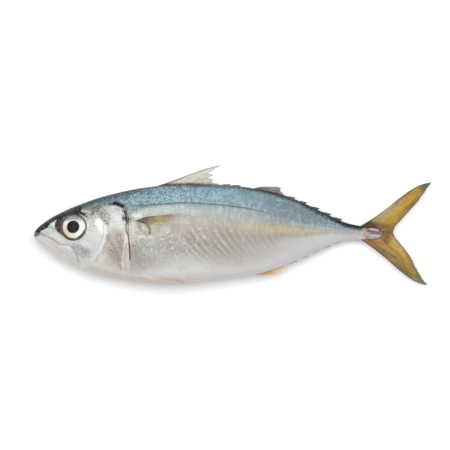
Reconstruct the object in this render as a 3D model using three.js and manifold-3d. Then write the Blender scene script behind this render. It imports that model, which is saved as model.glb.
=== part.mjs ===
// A whole raw short-bodied mackerel, lying on its right flank with the left side up.
//
// The fish is drawn in its own frame first: x runs from the snout (0) to the tail tips, y is up the
// fish's back from the body axis, and z is the height above the surface it lies on. At the end the
// group is moved so that the origin is on that surface, under the middle of the fish.
//
// Flesh, skin and fins are one solid, because the fins grow out of the body. The two eyeballs are
// pieces of their own, which sit in sockets. All sizes are in millimetres.
import * as THREE from "three";
import { mergeVertices } from "three/addons/utils/BufferGeometryUtils.js";
import Module from "manifold-3d";

const wasm = await Module();
wasm.setup();

// ---------------------------------------------------------------------------------------------
// Driving dimensions
// ---------------------------------------------------------------------------------------------

const BODY_END = 189; // the flesh tapers to a wedge inside the tail fin
const ROUNDNESS = 2.15; // exponent of the cross section: 2 is an ellipse

// Side view of the body without its fins: [distance from the snout, height over the axis].
const BACK = [
  [0, 0], [0.9, 1.9], [3.2, 4.4], [10.8, 9.6], [22, 15.1], [38, 20.6], [60, 24.9], [84, 26.9],
  [111, 26], [133, 21.6], [146, 16.7], [158, 11.1], [168, 6.4], [175, 4.6], [182, 3.9],
  [BODY_END, 1.9],
];
const BELLY = [
  [0, -1], [1.2, -3], [4.6, -6.1], [14, -12.6], [30, -19.7], [53, -24.5], [76, -26.2], [88, -25.4],
  [115, -22.1], [127, -20], [139, -15.4], [154, -8.6], [164, -4.3], [171, -3.1], [182, -2.6],
  [BODY_END, -0.4],
];
// Half of the body's thickness, and the height at which it is thickest.
const HALF_WIDTH = [
  [0, 0.3], [0.9, 1.9], [3.5, 3.6], [10, 5.9], [21.5, 8.7], [34, 10.9], [49, 12.3], [66, 13],
  [85, 13], [104, 12.2], [122, 10.2], [140, 7.2], [156, 4.7], [168, 3.4], [176, 2.6], [182, 1.5],
  [BODY_END, 0.4],
];
const WIDEST = [
  [0, -0.4], [20, -1], [50, -1.5], [85, 0], [120, 1.5], [150, 1.6], [BODY_END, 0.75],
];
// The body's middle plane over the surface. It sags towards the tail, as a limp fish does.
const REST_HEIGHT = [
  [0, 9.6], [20, 11.1], [50, 12.2], [85, 12.4], [115, 11.2], [140, 8.8], [165, 6.3], [190, 4.9],
  [216, 3.6],
];

// The gill cover: where its rear edge runs, how far it stands out, and the cleft behind it.
const GILL_EDGE = [
  [-28, 48.2], [-20, 50.8], [-14, 51.7], [-8, 51.6], [-2, 51.1], [4, 50.3], [9, 49.8], [13, 48.6],
  [17, 45.4], [28, 41],
];
const GILL = { top: 12.5, bottom: -21, rise: 0.55, depth: 1.5, cleft: 2.3, fade: 8 };

// The eye: a lens of two shallow domes, set into the head.
const EYE = { x: 21.4, y: 4.3, radius: 6.9, bulge: 1.9, depth: 3.6, gap: 0.3, orbit: 2.6 };

// The closed mouth: a narrow slit that runs back and down from the snout, [x, y].
const MOUTH = [[-2, 1.9], [1, 0.9], [3.2, -1.6], [9.6, -6.1], [14.6, -9.9], [19.4, -12.4]];
const MOUTH_END = [22.8, -13.5];
const MOUTH_WIDTH = 0.7;

// The upper jaw bone: a strip along the mouth that ends in a rounded paddle, [x, y].
const JAW_BONE = [[3.5, -1.4], [9.5, -4.6], [14.4, -7.6], [17.4, -8.6], [20.2, -10.2], [21.8, -12.4]];
const JAW_BONE_RISE = 0.45;

// Fins. A root line lies inside the body. An edge line joins the fin's free tips.
const TAIL = {
  root: [[176.5, 4.3], [180, 0.7], [176.5, -2.9]],
  edge: [
    [215.2, 28.2], [211, 22.3], [209.4, 20.1], [208.2, 17.5], [205.4, 13.9], [200.6, 8.3],
    [196, 4.2], [194.1, 1.1], [195.8, -2.2], [200.2, -7.3], [203.4, -11.6], [206.7, -18],
    [209.9, -23.4], [213.1, -27.5],
  ],
  rays: 22, steps: 7, rootThick: 2, edgeThick: 0.6, ridge: 0.3, bow: 2.5,
};
const FIRST_DORSAL = {
  root: [[65, 24.4], [82, 25.4], [96, 25]],
  edge: [
    [100.2, 36.8], [95, 34.2], [96.8, 32.9], [92.4, 31.1], [96.8, 30.3], [93.4, 28.9],
    [99.9, 27.6], [103, 25.2],
  ],
  rays: 11, steps: 4, rootThick: 1.6, edgeThick: 0.6, ridge: 0.25, bow: 0.6,
};
const SECOND_DORSAL = {
  root: [[111, 24.6], [122, 22.4], [132, 20.2]],
  edge: [[121, 25.8], [126, 26.2], [132, 26], [133.3, 24.2], [134.6, 21]],
  rays: 8, steps: 3, rootThick: 1.4, edgeThick: 0.6, ridge: 0.2, bow: 0,
};
const ANAL = {
  root: [[116, -20.4], [124, -19.4], [132, -16.8]],
  edge: [[122.6, -22.3], [127, -22.9], [131, -22.6], [134, -21.1], [136.4, -17.4]],
  rays: 8, steps: 3, rootThick: 1.4, edgeThick: 0.6, ridge: 0.2, bow: 0,
};
const DORSAL_FINLET_TIPS = [141.5, 147.6, 154.2, 161, 167];
const ANAL_FINLET_TIPS = [142, 148.2, 154.6, 160.6, 166];
const FINLET = { length: 5.4, dorsalRise: 1.3, analRise: 0.9, thick: 0.9 };
const FOLDED_SPINE_TIPS = [104.8, 111.6]; // the last spines of the first dorsal fin, lying flat
const SPINE_RISE = 0.6;
const PECTORAL = {
  root: [[57.6, 8.6], [60.6, 5.4], [61.8, 0]],
  edge: [[76, 12], [77.6, 9.2], [75, 5], [70.4, 1.4], [64.6, -1.2]],
  rays: 9, steps: 4, rootThick: 1.2, edgeThick: 0.9, ridge: 0.25, bow: 1,
};
const PELVIC = {
  root: [[59, -22.6], [61, -23.4], [63.4, -24.2]],
  edge: [[82.4, -24.6], [84.2, -25.8], [80.6, -26.7]],
  rays: 4, steps: 4, rootThick: 1, edgeThick: 0.7, ridge: 0.15, bow: 0,
};
const PELVIC_SPREAD = 1.9; // each pelvic fin's distance from the middle plane

// How finely the surfaces are cut up.
const STATIONS = { nose: 8, head: 15, gill: 14, trunk: 24, girth: 44 };
const GILL_ZONE = [44, 55];

// ---------------------------------------------------------------------------------------------
// Curves and helpers
// ---------------------------------------------------------------------------------------------

const clamp = (value, low, high) => Math.min(high, Math.max(low, value));
const smooth = (value) => {
  const t = clamp(value, 0, 1);
  return t * t * (3 - 2 * t);
};

// A smooth function of one variable through the given points.
function through(points) {
  const slopes = points.map((point, i) => {
    const before = points[Math.max(i - 1, 0)];
    const after = points[Math.min(i + 1, points.length - 1)];
    return (after[1] - before[1]) / (after[0] - before[0]);
  });
  return (at) => {
    const last = points.length - 2;
    let i = 0;
    while (i < last && at > points[i + 1][0]) i += 1;
    const span = points[i + 1][0] - points[i][0];
    const t = clamp((at - points[i][0]) / span, 0, 1);
    const rise = t * t * (3 - 2 * t);
    return points[i][1] * (1 - rise) + points[i + 1][1] * rise
      + slopes[i] * span * t * (1 - t) ** 2
      - slopes[i + 1] * span * t * t * (1 - t);
  };
}

const back = through(BACK);
const belly = through(BELLY);
const halfWidth = through(HALF_WIDTH);
const widest = through(WIDEST);
const restHeight = through(REST_HEIGHT);
const gillEdge = through(GILL_EDGE);

// A straight-sided path through points in the side view, walked by a share from 0 to 1.
function walk(points) {
  const path = new THREE.CurvePath();
  points.slice(1).forEach((point, i) => {
    path.add(new THREE.LineCurve(new THREE.Vector2(...points[i]), new THREE.Vector2(...point)));
  });
  return (share) => path.getPoint(clamp(share, 0, 1));
}

// Distance from (x, y) to a line of points.
function distanceTo(points, x, y) {
  const here = new THREE.Vector2(x, y);
  let best = Infinity;
  for (let i = 0; i < points.length - 1; i += 1) {
    const start = new THREE.Vector2(...points[i]);
    const along = new THREE.Vector2(...points[i + 1]).sub(start);
    const t = clamp(here.clone().sub(start).dot(along) / along.lengthSq(), 0, 1);
    best = Math.min(best, start.addScaledVector(along, t).distanceTo(here));
  }
  return best;
}

const solidFrom = (geometry) => {
  const plain = geometry.clone();
  plain.deleteAttribute("normal");
  plain.deleteAttribute("uv");
  const merged = mergeVertices(plain, 1e-4);
  return new wasm.Manifold(new wasm.Mesh({
    numProp: 3,
    vertProperties: merged.attributes.position.array,
    triVerts: Uint32Array.from(merged.index.array),
  }));
};

const geometryFrom = (solid) => {
  const mesh = solid.getMesh();
  const geometry = new THREE.BufferGeometry();
  geometry.setAttribute("position", new THREE.BufferAttribute(mesh.vertProperties, 3));
  geometry.setIndex(new THREE.BufferAttribute(mesh.triVerts, 1));
  geometry.computeVertexNormals();
  return geometry;
};

// ---------------------------------------------------------------------------------------------
// The body
// ---------------------------------------------------------------------------------------------

// The relief of the head and gill cover, as a height over the smooth flank.
function relief(x, y) {
  const behind = x - gillEdge(y);
  const inGill = smooth((GILL.top - y) / 3) * smooth((y - GILL.bottom) / 4);
  let height = 0;
  if (behind <= 0) height += GILL.rise * smooth(1 + behind / GILL.fade) * inGill;
  else height -= GILL.depth * smooth(1.4 - behind / GILL.cleft) * inGill;

  const fromEye = Math.hypot(x - EYE.x, y - EYE.y) - EYE.radius;
  height += 0.35 * smooth(1 - Math.abs(fromEye) / EYE.orbit);
  height += JAW_BONE_RISE * smooth(1.9 - distanceTo(JAW_BONE, x, y) / 1.3);
  return height;
}

// The flank's distance from the middle plane at a point of the side view, without relief.
function flank(x, y) {
  const middle = widest(x);
  const reach = y > middle ? back(x) - middle : middle - belly(x);
  const share = clamp(Math.abs(y - middle) / reach, 0, 1);
  return halfWidth(x) * (1 - share ** ROUNDNESS) ** (1 / ROUNDNESS);
}

// Where the cross sections stand along the body: close together at the snout and the gill.
function stations() {
  const [gillStart, gillEnd] = GILL_ZONE;
  const noseEnd = 9;
  const list = [];
  for (let i = 1; i <= STATIONS.nose; i += 1) list.push(noseEnd * (i / STATIONS.nose) ** 2);
  const spread = (from, to, count) => {
    for (let i = 1; i <= count; i += 1) list.push(from + ((to - from) * i) / count);
  };
  spread(noseEnd, gillStart, STATIONS.head);
  spread(gillStart, gillEnd, STATIONS.gill);
  spread(gillEnd, BODY_END, STATIONS.trunk);
  return list;
}

// A section is bent so that one line of faces follows the rear edge of the gill cover.
function bendToGill(x, y) {
  const [gillStart, gillEnd] = GILL_ZONE;
  const pull = smooth((x - gillStart + 22) / 22) * smooth((gillEnd + 30 - x) / 30);
  return x + (gillEdge(y) - gillEdge(0)) * pull;
}

function bodyGeometry() {
  const positions = [];
  const rows = stations();
  const { girth } = STATIONS;
  rows.forEach((station) => {
    for (let i = 0; i < girth; i += 1) {
      const angle = (2 * Math.PI * i) / girth;
      const power = 2 / ROUNDNESS;
      const rise = Math.sign(Math.sin(angle)) * Math.abs(Math.sin(angle)) ** power;
      const side = Math.sign(Math.cos(angle)) * Math.abs(Math.cos(angle)) ** power;
      const firstY = widest(station) + rise * (rise > 0
        ? back(station) - widest(station)
        : widest(station) - belly(station));
      const x = bendToGill(station, firstY);
      const y = widest(x) + rise * (rise > 0 ? back(x) - widest(x) : widest(x) - belly(x));
      const stand = Math.max(halfWidth(x) + relief(x, y), 0.2);
      positions.push(x, y, restHeight(x) + side * stand);
    }
  });
  const noseTip = positions.length / 3;
  positions.push(0, -0.5, restHeight(0));
  const tailTip = noseTip + 1;
  positions.push(BODY_END + 0.5, widest(BODY_END), restHeight(BODY_END));

  const faces = [];
  const last = rows.length - 1;
  for (let i = 0; i < girth; i += 1) {
    const next = (i + 1) % girth;
    faces.push(noseTip, next, i);
    faces.push(tailTip, last * girth + i, last * girth + next);
    for (let row = 0; row < last; row += 1) {
      const a = row * girth + i;
      const b = row * girth + next;
      faces.push(a, b, a + girth, b, b + girth, a + girth);
    }
  }
  const geometry = new THREE.BufferGeometry();
  geometry.setAttribute("position", new THREE.Float32BufferAttribute(positions, 3));
  geometry.setIndex(faces);
  return geometry;
}

// ---------------------------------------------------------------------------------------------
// Fins
// ---------------------------------------------------------------------------------------------

const BOW_PEAK = 9.48; // makes t ** 3 * (1 - t) reach 1, at three quarters of a ray

// A fin is a thin blade of rays fanned out between its root line and its edge line. heightAt
// gives the height of the blade's middle, so that it follows the body. Each ray is a low ridge.
function finGeometry(form, heightAt) {
  const { rays, steps, rootThick, edgeThick, ridge, bow } = form;
  const root = walk(form.root);
  const edge = walk(form.edge);
  const across = rays * 2;
  const faceOf = (side) => {
    const points = [];
    for (let i = 0; i <= across; i += 1) {
      const share = i / across;
      const from = root(share);
      const to = edge(share);
      const ray = to.clone().sub(from);
      const outwards = new THREE.Vector2(-ray.y, ray.x).normalize().multiplyScalar(
        bow * (1 - 2 * share),
      );
      for (let j = 0; j <= steps; j += 1) {
        const t = j / steps;
        const point = from.clone().lerp(to, t).addScaledVector(outwards, BOW_PEAK * t ** 3 * (1 - t));
        const onRay = i % 2 === 0 ? ridge * (1 - t) : 0;
        const thick = rootThick + (edgeThick - rootThick) * Math.sqrt(t) + onRay;
        points.push(point.x, point.y, heightAt(point.x, point.y) + (side * thick) / 2);
      }
    }
    return points;
  };
  const upper = faceOf(1);
  const positions = [...upper, ...faceOf(-1)];
  const under = upper.length / 3;
  const columns = steps + 1;
  const faces = [];
  const quad = (a, b, c, d) => faces.push(a, b, c, a, c, d);
  for (let i = 0; i < across; i += 1) {
    for (let j = 0; j < steps; j += 1) {
      const a = i * columns + j;
      const b = a + columns;
      quad(a, a + 1, b + 1, b);
      quad(under + a, under + b, under + b + 1, under + a + 1);
    }
    const start = i * columns;
    const end = start + steps;
    quad(start, start + columns, under + start + columns, under + start);
    quad(end, under + end, under + end + columns, end + columns);
  }
  for (let j = 0; j < steps; j += 1) {
    const far = across * columns + j;
    quad(j, under + j, under + j + 1, j + 1);
    quad(far, far + 1, under + far + 1, under + far);
  }
  const geometry = new THREE.BufferGeometry();
  geometry.setAttribute("position", new THREE.Float32BufferAttribute(positions, 3));
  geometry.setIndex(faces);
  return geometry;
}

// A solid that may have been wound the wrong way round, turned to face outwards.
function outwardSolid(geometry) {
  const made = solidFrom(geometry);
  if (made.volume() > 0) return made;
  const index = geometry.index.array;
  for (let i = 0; i < index.length; i += 3) [index[i + 1], index[i + 2]] = [index[i + 2], index[i + 1]];
  return solidFrom(geometry);
}

const inMiddle = (x) => restHeight(x);
const middleFin = (form) => outwardSolid(finGeometry(form, inMiddle));

function finlet(tipX, line, rise) {
  const side = Math.sign(rise);
  const rootAt = (share) => {
    const x = tipX - FINLET.length * (1 - share * 0.7);
    return [x, line(x) - side * 1.2];
  };
  return middleFin({
    root: [rootAt(0), rootAt(1)],
    edge: [[tipX - 1, line(tipX - 1) + rise], [tipX, line(tipX) + rise], [tipX - 0.8, line(tipX)]],
    rays: 2, steps: 2, rootThick: FINLET.thick, edgeThick: FINLET.thick / 2, ridge: 0, bow: 0,
  });
}

// A fin folded flat on one flank; side is 1 for the upper flank and -1 for the lower.
const flankFin = (form, side) => outwardSolid(
  finGeometry(form, (x, y) => restHeight(x) + side * (flank(x, y) + 0.25)),
);

const pelvicFin = (side) => outwardSolid(
  finGeometry(PELVIC, (x) => restHeight(x) + side * PELVIC_SPREAD),
);

// ---------------------------------------------------------------------------------------------
// Eyes and mouth
// ---------------------------------------------------------------------------------------------

// A lens turned about its own axis. grow makes the socket that it sits in.
function lensGeometry(grow) {
  const radius = EYE.radius + grow;
  const arcSteps = 5;
  const profile = [];
  const dome = (height, from, to) => {
    for (let i = from; i <= to; i += 1) {
      const angle = (Math.PI / 2) * (i / arcSteps);
      profile.push(new THREE.Vector2(radius * Math.sin(angle), height * Math.cos(angle)));
    }
  };
  dome(-(EYE.depth + grow), 0, arcSteps);
  const rim = profile.length;
  dome(EYE.bulge + grow, 0, arcSteps - 1);
  const upperHalf = profile.splice(rim).reverse();
  const around = 28;
  return new THREE.LatheGeometry([...profile, ...upperHalf], around);
}

// Puts a lens on the head, with its axis square to the flank.
function placeEye(object, side) {
  const step = 2;
  const at = flank(EYE.x, EYE.y);
  const slopeX = (flank(EYE.x + step, EYE.y) - flank(EYE.x - step, EYE.y)) / (2 * step);
  const slopeY = (flank(EYE.x, EYE.y + step) - flank(EYE.x, EYE.y - step)) / (2 * step);
  const outwards = new THREE.Vector3(-slopeX, -slopeY, side).normalize();
  object.position.set(EYE.x, EYE.y, restHeight(EYE.x) + side * at);
  object.quaternion.setFromUnitVectors(new THREE.Vector3(0, 1, 0), outwards);
  object.updateMatrixWorld(true);
  return object;
}

function eyeSocket(side) {
  const socket = placeEye(new THREE.Object3D(), side);
  return solidFrom(lensGeometry(EYE.gap).applyMatrix4(socket.matrixWorld));
}

// The slit between the jaws goes right through the snout and closes to a point at its rear end.
function mouthSlit() {
  const upper = MOUTH.map(([x, y]) => new THREE.Vector2(x + MOUTH_WIDTH / 3, y + MOUTH_WIDTH / 2));
  const lower = MOUTH.map(([x, y]) => new THREE.Vector2(x - MOUTH_WIDTH / 3, y - MOUTH_WIDTH / 2));
  const outline = [...lower, new THREE.Vector2(...MOUTH_END), ...upper.reverse()];
  const geometry = new THREE.ExtrudeGeometry(new THREE.Shape(outline), {
    depth: 40,
    bevelEnabled: false,
  });
  return outwardSolid(geometry.translate(0, 0, -10));
}

// ---------------------------------------------------------------------------------------------
// The whole fish
// ---------------------------------------------------------------------------------------------

function fishSolid() {
  const parts = [
    outwardSolid(bodyGeometry()),
    middleFin(TAIL),
    middleFin(FIRST_DORSAL),
    middleFin(SECOND_DORSAL),
    middleFin(ANAL),
    ...FOLDED_SPINE_TIPS.map((tip) => finlet(tip, back, SPINE_RISE)),
    ...DORSAL_FINLET_TIPS.map((tip) => finlet(tip, back, FINLET.dorsalRise)),
    ...ANAL_FINLET_TIPS.map((tip) => finlet(tip, belly, -FINLET.analRise)),
    ...[1, -1].flatMap((side) => [flankFin(PECTORAL, side), pelvicFin(side)]),
  ];
  const joined = parts.reduce((whole, part) => whole.add(part));
  const opened = joined.subtract(mouthSlit()).subtract(eyeSocket(1)).subtract(eyeSocket(-1));
  return opened.trimByPlane([0, 0, 1], 0); // the flank is pressed flat where it rests
}

const skin = new THREE.MeshStandardMaterial({ color: 0x9fb2bb, roughness: 0.3, metalness: 0.35 });
const iris = new THREE.MeshStandardMaterial({ color: 0x2b2b2a, roughness: 0.08, metalness: 0 });

const fish = new THREE.Group();
const body = new THREE.Mesh(geometryFrom(fishSolid()), skin);
body.name = "fish";
fish.add(body);
[["eye_left", 1], ["eye_right", -1]].forEach(([name, side]) => {
  const eye = placeEye(new THREE.Mesh(lensGeometry(0), iris), side);
  eye.name = name;
  fish.add(eye);
});

// The origin goes on the resting surface, under the middle of the whole fish.
const reach = new THREE.Box3().setFromObject(fish, true);
const centre = reach.getCenter(new THREE.Vector3());
fish.position.set(-centre.x, -centre.y, -reach.min.z);
fish.updateMatrixWorld(true);

export default fish;
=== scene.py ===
# %% [markdown]
# # A whole raw mackerel
# This lesson dresses a plain solid of a short-bodied mackerel, which lies on its right flank.
# The solid is loaded as a fixed frame. Each visible piece is then modelled at its real size:
# the skinned body, the fins, the eyeballs with their clear corneas and the skin rims round them.
# The side view is drawn in millimetres: x runs from the snout to the tail, y is up the fish's
# back from the body axis, and z is the height over the table.

# %% Load the frame
import math
from functools import partial

import bpy
import numpy as np
from mathutils import Matrix, Vector


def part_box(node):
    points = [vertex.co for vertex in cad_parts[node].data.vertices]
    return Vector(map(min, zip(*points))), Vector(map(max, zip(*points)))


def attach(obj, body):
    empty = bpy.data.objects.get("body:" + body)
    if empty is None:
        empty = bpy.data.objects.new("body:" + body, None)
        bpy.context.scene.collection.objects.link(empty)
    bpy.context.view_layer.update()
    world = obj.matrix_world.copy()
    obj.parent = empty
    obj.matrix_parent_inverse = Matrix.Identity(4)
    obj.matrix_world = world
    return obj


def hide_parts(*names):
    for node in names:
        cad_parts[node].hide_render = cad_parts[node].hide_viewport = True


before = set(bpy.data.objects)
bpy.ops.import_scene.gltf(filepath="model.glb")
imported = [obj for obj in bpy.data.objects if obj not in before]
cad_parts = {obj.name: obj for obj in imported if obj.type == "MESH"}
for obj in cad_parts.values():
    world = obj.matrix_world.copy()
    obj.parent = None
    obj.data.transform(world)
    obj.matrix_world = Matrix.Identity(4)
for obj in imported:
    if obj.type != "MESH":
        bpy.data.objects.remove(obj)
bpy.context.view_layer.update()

MM = 0.001
FISH_LOW, FISH_HIGH = (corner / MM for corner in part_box("fish"))
# The drawing's snout tip is at x 0, the tail's lower corner at y -27.5 and the table at z 0.
DRAWN_LOW = Vector((0, -27.5, 0))
ORIGIN = np.array(DRAWN_LOW - FISH_LOW)
print("solids:", sorted(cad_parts), "size in mm:", [round(v, 1) for v in FISH_HIGH - FISH_LOW])

# %% [markdown]
# ## Smooth curves through a few measured sizes
# The body is drawn as a shipwright draws a hull: a few heights and widths, with a smooth curve
# through each list. One helper returns such a curve as a function of x, and everything that
# lies on the body, such as fins, eyes and colour bands, asks the same functions where the skin is.

# %% Curves and small helpers
def smooth(value):
    """0 below 0, 1 above 1, with a soft S between."""
    t = np.clip(value, 0, 1)
    return t * t * (3 - 2 * t)


def through(points):
    """A smooth function of one variable through the points."""
    xs, ys = np.array(points, float).T
    before = np.maximum(np.arange(len(xs)) - 1, 0)
    after = np.minimum(np.arange(len(xs)) + 1, len(xs) - 1)
    slopes = (ys[after] - ys[before]) / (xs[after] - xs[before])

    def value(at):
        at = np.asarray(at, float)
        i = np.clip(np.searchsorted(xs, at, side="right") - 1, 0, len(xs) - 2)
        span = xs[i + 1] - xs[i]
        t = np.clip((at - xs[i]) / span, 0, 1)
        rise = t * t * (3 - 2 * t)
        bend = slopes[i] * (1 - t) ** 2 * t - slopes[i + 1] * t * t * (1 - t)
        return ys[i] * (1 - rise) + ys[i + 1] * rise + bend * span

    return value


def select_only(piece):
    """Makes one object the selected and active one, as the operators act on what is selected."""
    bpy.ops.object.select_all(action="DESELECT")
    piece.select_set(True)
    bpy.context.view_layer.objects.active = piece


def new_piece(name, primitive, **settings):
    """Adds a primitive with nothing else selected, and names it."""
    bpy.ops.object.select_all(action="DESELECT")
    primitive(**settings)
    piece = bpy.context.object
    piece.name = name
    return piece


def thicken(piece, thickness, offset, group=""):
    """Gives a sheet a wall, on both sides for offset 0 and inside for -1, thinned by a group."""
    wall = piece.modifiers.new("wall", "SOLIDIFY")
    wall.thickness = thickness
    wall.offset = offset
    wall.vertex_group = group
    select_only(piece)
    bpy.ops.object.modifier_apply(modifier=wall.name)


def vertices_of(piece):
    flat = np.empty(len(piece.data.vertices) * 3)
    piece.data.vertices.foreach_get("co", flat)
    return flat.reshape(-1, 3)


def move_vertices(piece, places):
    piece.data.vertices.foreach_set("co", np.asarray(places, float).ravel())
    piece.data.update()


def to_row(drawn):
    """Millimetres of the drawing to metres of the frame."""
    return (np.asarray(drawn) - ORIGIN) * MM


def face_outwards(piece):
    """Merges doubled vertices and turns the faces of a closed shell outwards."""
    select_only(piece)
    bpy.ops.object.mode_set(mode="EDIT")
    bpy.ops.mesh.select_all(action="SELECT")
    bpy.ops.mesh.remove_doubles(threshold=0.000002)
    bpy.ops.mesh.normals_make_consistent(inside=False)
    bpy.ops.object.mode_set(mode="OBJECT")


def store(piece, name, values):
    """Keeps one number for each vertex, which a material can read by its name."""
    attribute = piece.data.attributes.new(name, "FLOAT", "POINT")
    attribute.data.foreach_set("value", np.asarray(values, np.float32).ravel())


def report(piece):
    size = [round(v / MM, 1) for v in piece.dimensions]
    print(f"{piece.name}: {len(piece.data.polygons)} faces, size in mm {size}")


# %% [markdown]
# ## The body's lines
# Back, belly and half width give the bare body. The widest line says at which height the body is
# thickest, and the rest height is how far its middle plane lies over the table: it sags towards
# the tail, as a limp fish does. The cross section is a superellipse, a little squarer than an
# ellipse, because a mackerel's flanks are flattish.

# %% Sizes of the body
BODY_END = 189.0
ROUNDNESS = 2.15
BACK = through([
    (0, 0.6), (0.8, 2.1), (3.2, 4.7), (10.8, 9.8), (22, 15.1), (38, 20.7), (60, 25.4), (84, 27.2),
    (111, 26.2), (133, 21.7), (146, 16.8), (158, 11.2), (168, 6.6), (175, 4.9), (182, 4.1),
    (BODY_END, 1.9),
])
BELLY = through([
    (0, -1.4), (1.2, -3), (4.6, -6.1), (14, -12.6), (30, -19.7), (53, -24.5), (76, -26.2),
    (88, -25.4), (115, -22.1), (127, -20), (139, -15.4), (154, -8.6), (164, -4.3), (171, -3.1),
    (182, -2.6), (BODY_END, -0.4),
])
HALF_WIDTH = through([
    (0, 0.3), (0.9, 1.9), (3.5, 3.6), (10, 5.9), (21.5, 8.7), (34, 10.9), (49, 12.3), (66, 13),
    (85, 13), (104, 12.2), (122, 10.2), (140, 7.2), (156, 4.7), (168, 3.4), (176, 2.6),
    (182, 1.9), (BODY_END, 0.4),
])
WIDEST = through([
    (0, -0.4), (20, -1), (50, -1.5), (85, 0), (120, 1.5), (150, 1.6), (BODY_END, 0.75),
])
REST_HEIGHT = through([
    (0, 9.6), (20, 11.1), (50, 12.2), (85, 12.4), (115, 11.2), (140, 8.8), (165, 6.3),
    (190, 4.9), (216, 3.6),
])
LATERAL_LINE = through([
    (0, 6), (30, 14.5), (44, 16.3), (54, 15.5), (69.4, 16.4), (81.4, 17.1), (93.3, 16.6),
    (107.8, 15.2), (117.4, 13.8), (127.1, 11.3), (136.6, 8.6), (143.9, 6.5), (151.2, 5.2),
    (165, 3), (176, 1.6), (BODY_END, 1),
])
GILL_EDGE = through([
    (-28, 48.2), (-20, 50.8), (-14, 51.7), (-8, 51.6), (-2, 51.1), (4, 50.3), (9, 49.8),
    (13, 48.6), (17, 45.4), (28, 41),
])
GILL_TOP = 12.5
GILL_BOTTOM = -18.0
EYE_X, EYE_Y, EYE_RADIUS = 21.5, 4.0, 6.9


def flank(x, y):
    """How far the bare flank is from the middle plane at a point of the side view."""
    middle = WIDEST(x)
    reach = np.where(y > middle, BACK(x) - middle, middle - BELLY(x))
    share = np.clip(np.abs(y - middle) / reach, 0, 1)
    return HALF_WIDTH(x) * (1 - share**ROUNDNESS) ** (1 / ROUNDNESS)


print("deepest:", round(float(BACK(84) - BELLY(84)), 1), "thickest:", float(2 * HALF_WIDTH(75)), "mm")

# %% [markdown]
# ## Strokes
# Folds, bones and patches of colour are all laid on the side view as brush strokes: a line of
# points, a radius at full strength and a soft edge outside it. The same helper carves the skin and
# paints it, so a groove and the shade painted along it always lie on one another.

# %% The brush
def distance_to(x, y, points):
    """Distance in the side view from each (x, y) to a line of points, or to a single point."""
    best = np.full(np.shape(x), np.inf)
    for start, end in zip(points, points[1:] or points):
        along = np.subtract(end, start)
        length = max(float(along @ along), 1e-9)
        t = np.clip(((x - start[0]) * along[0] + (y - start[1]) * along[1]) / length, 0, 1)
        away = np.hypot(x - start[0] - t * along[0], y - start[1] - t * along[1])
        best = np.minimum(best, away)
    return best


def brushed(x, y, strokes, combine=np.maximum):
    """Lays strokes (points, radius, soft edge, strength) over each other."""
    total = np.zeros(np.shape(x))
    for points, radius, soft, strength in strokes:
        mark = strength * smooth(1 - (distance_to(x, y, points) - radius) / soft)
        total = combine(total, mark)
    return total


# %% [markdown]
# ## Bones and folds of the head
# A mackerel's head is bare bone under thin skin, so every edge shows: the lips, the jaw bone
# that ends in a paddle, the ridge of the cheek, the rim of the gill cover and the two small
# nostrils. They are under a millimetre high. All of them are strokes with a height.

# %% Relief of the head, the flank and the tail root
MOUTH = [
    (-2, 1.2), (0.6, 0), (2.9, -1.2), (6.6, -3.5), (10.6, -6.2), (14.4, -9.2), (18.6, -12),
    (22.4, -13.3),
]
JAW_BONE = [(3.5, -1.4), (9.5, -4.6), (14.4, -7.6), (17.4, -8.6), (20.2, -10.2), (21.6, -12)]
JAW_BONE_TOP = [
    (3.7, 0.5), (6.8, -0.9), (10.6, -2.8), (14.6, -5.6), (18.3, -5.7), (21, -7.4), (22.6, -10),
    (23.6, -13.4),
]
CHEEK_RIDGE = [
    (37.6, 10.5), (38.6, 7.5), (38.4, 0), (37.6, -4.5), (35.1, -9.5), (31.3, -14.3), (25.9, -16.6),
]
CHEEK_STEP = [(39.9, 9), (40, 0), (39.2, -5), (36.6, -10.4), (32.8, -15.2)]
COVER_RIM = [(48.9, 9.5), (49.2, 1.7), (49.1, -3.2), (48.5, -8), (47.9, -12.8), (47.5, -20.5)]
COVER_SEAM = [(39.8, -2.8), (43.4, -8.6), (45.6, -14), (47.3, -20)]
COVER_FOLD = [
    (40.6, 15.8), (43, 16.7), (45.4, 16.5), (47.8, 15.5), (49.2, 13.8), (49.8, 11.6), (49.8, 9.2),
]
THROAT_FOLD = [(2.5, -3.2), (9, -8.6), (15, -12.2), (24, -16.4), (34, -20), (46, -22.9)]
LOWER_LIP = [(0.9, -1.5), (4.6, -5), (10, -8.4), (15, -11.6), (20, -14.2)]
UPPER_LIP = [(1.6, 1.5), (4, -0.6), (9, -4), (14, -7.2)]
NOSTRILS = [[(9.4, 6.4)], [(11.7, 6.3)]]
TAIL_PADS = [[(181.4, 2.7), (186, 2.3)], [(181.4, -1.3), (186.6, -1.2)]]
VENT = [(113.4, -22.4)]

RELIEF = [
    (MOUTH, 0.02, 0.45, -0.4),
    (JAW_BONE, 1.17, 1.2, 0.3),
    (JAW_BONE_TOP, 0.05, 0.5, -0.26),
    (UPPER_LIP, 0.35, 0.7, 0.2),
    (LOWER_LIP, 0.3, 0.7, 0.26),
    (THROAT_FOLD, 0.05, 0.7, -0.2),
    (CHEEK_RIDGE, 0.25, 1.1, 0.26),
    (CHEEK_STEP, 0.1, 1.0, -0.2),
    (COVER_SEAM, 0.1, 0.7, -0.18),
    (COVER_RIM, 0.2, 0.9, 0.18),
    (COVER_FOLD, 0.2, 0.9, -0.16),
    (NOSTRILS[0], 0.25, 0.45, -0.5),
    (NOSTRILS[1], 0.35, 0.45, -0.5),
    (TAIL_PADS[0], 0.3, 1.1, 0.75),
    (TAIL_PADS[1], 0.7, 1.2, 0.95),
    (VENT, 0.4, 1.0, -0.5),
    ([(59.6, 5.2), (60.4, 2.6)], 1.2, 2.6, 0.55),
]

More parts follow.
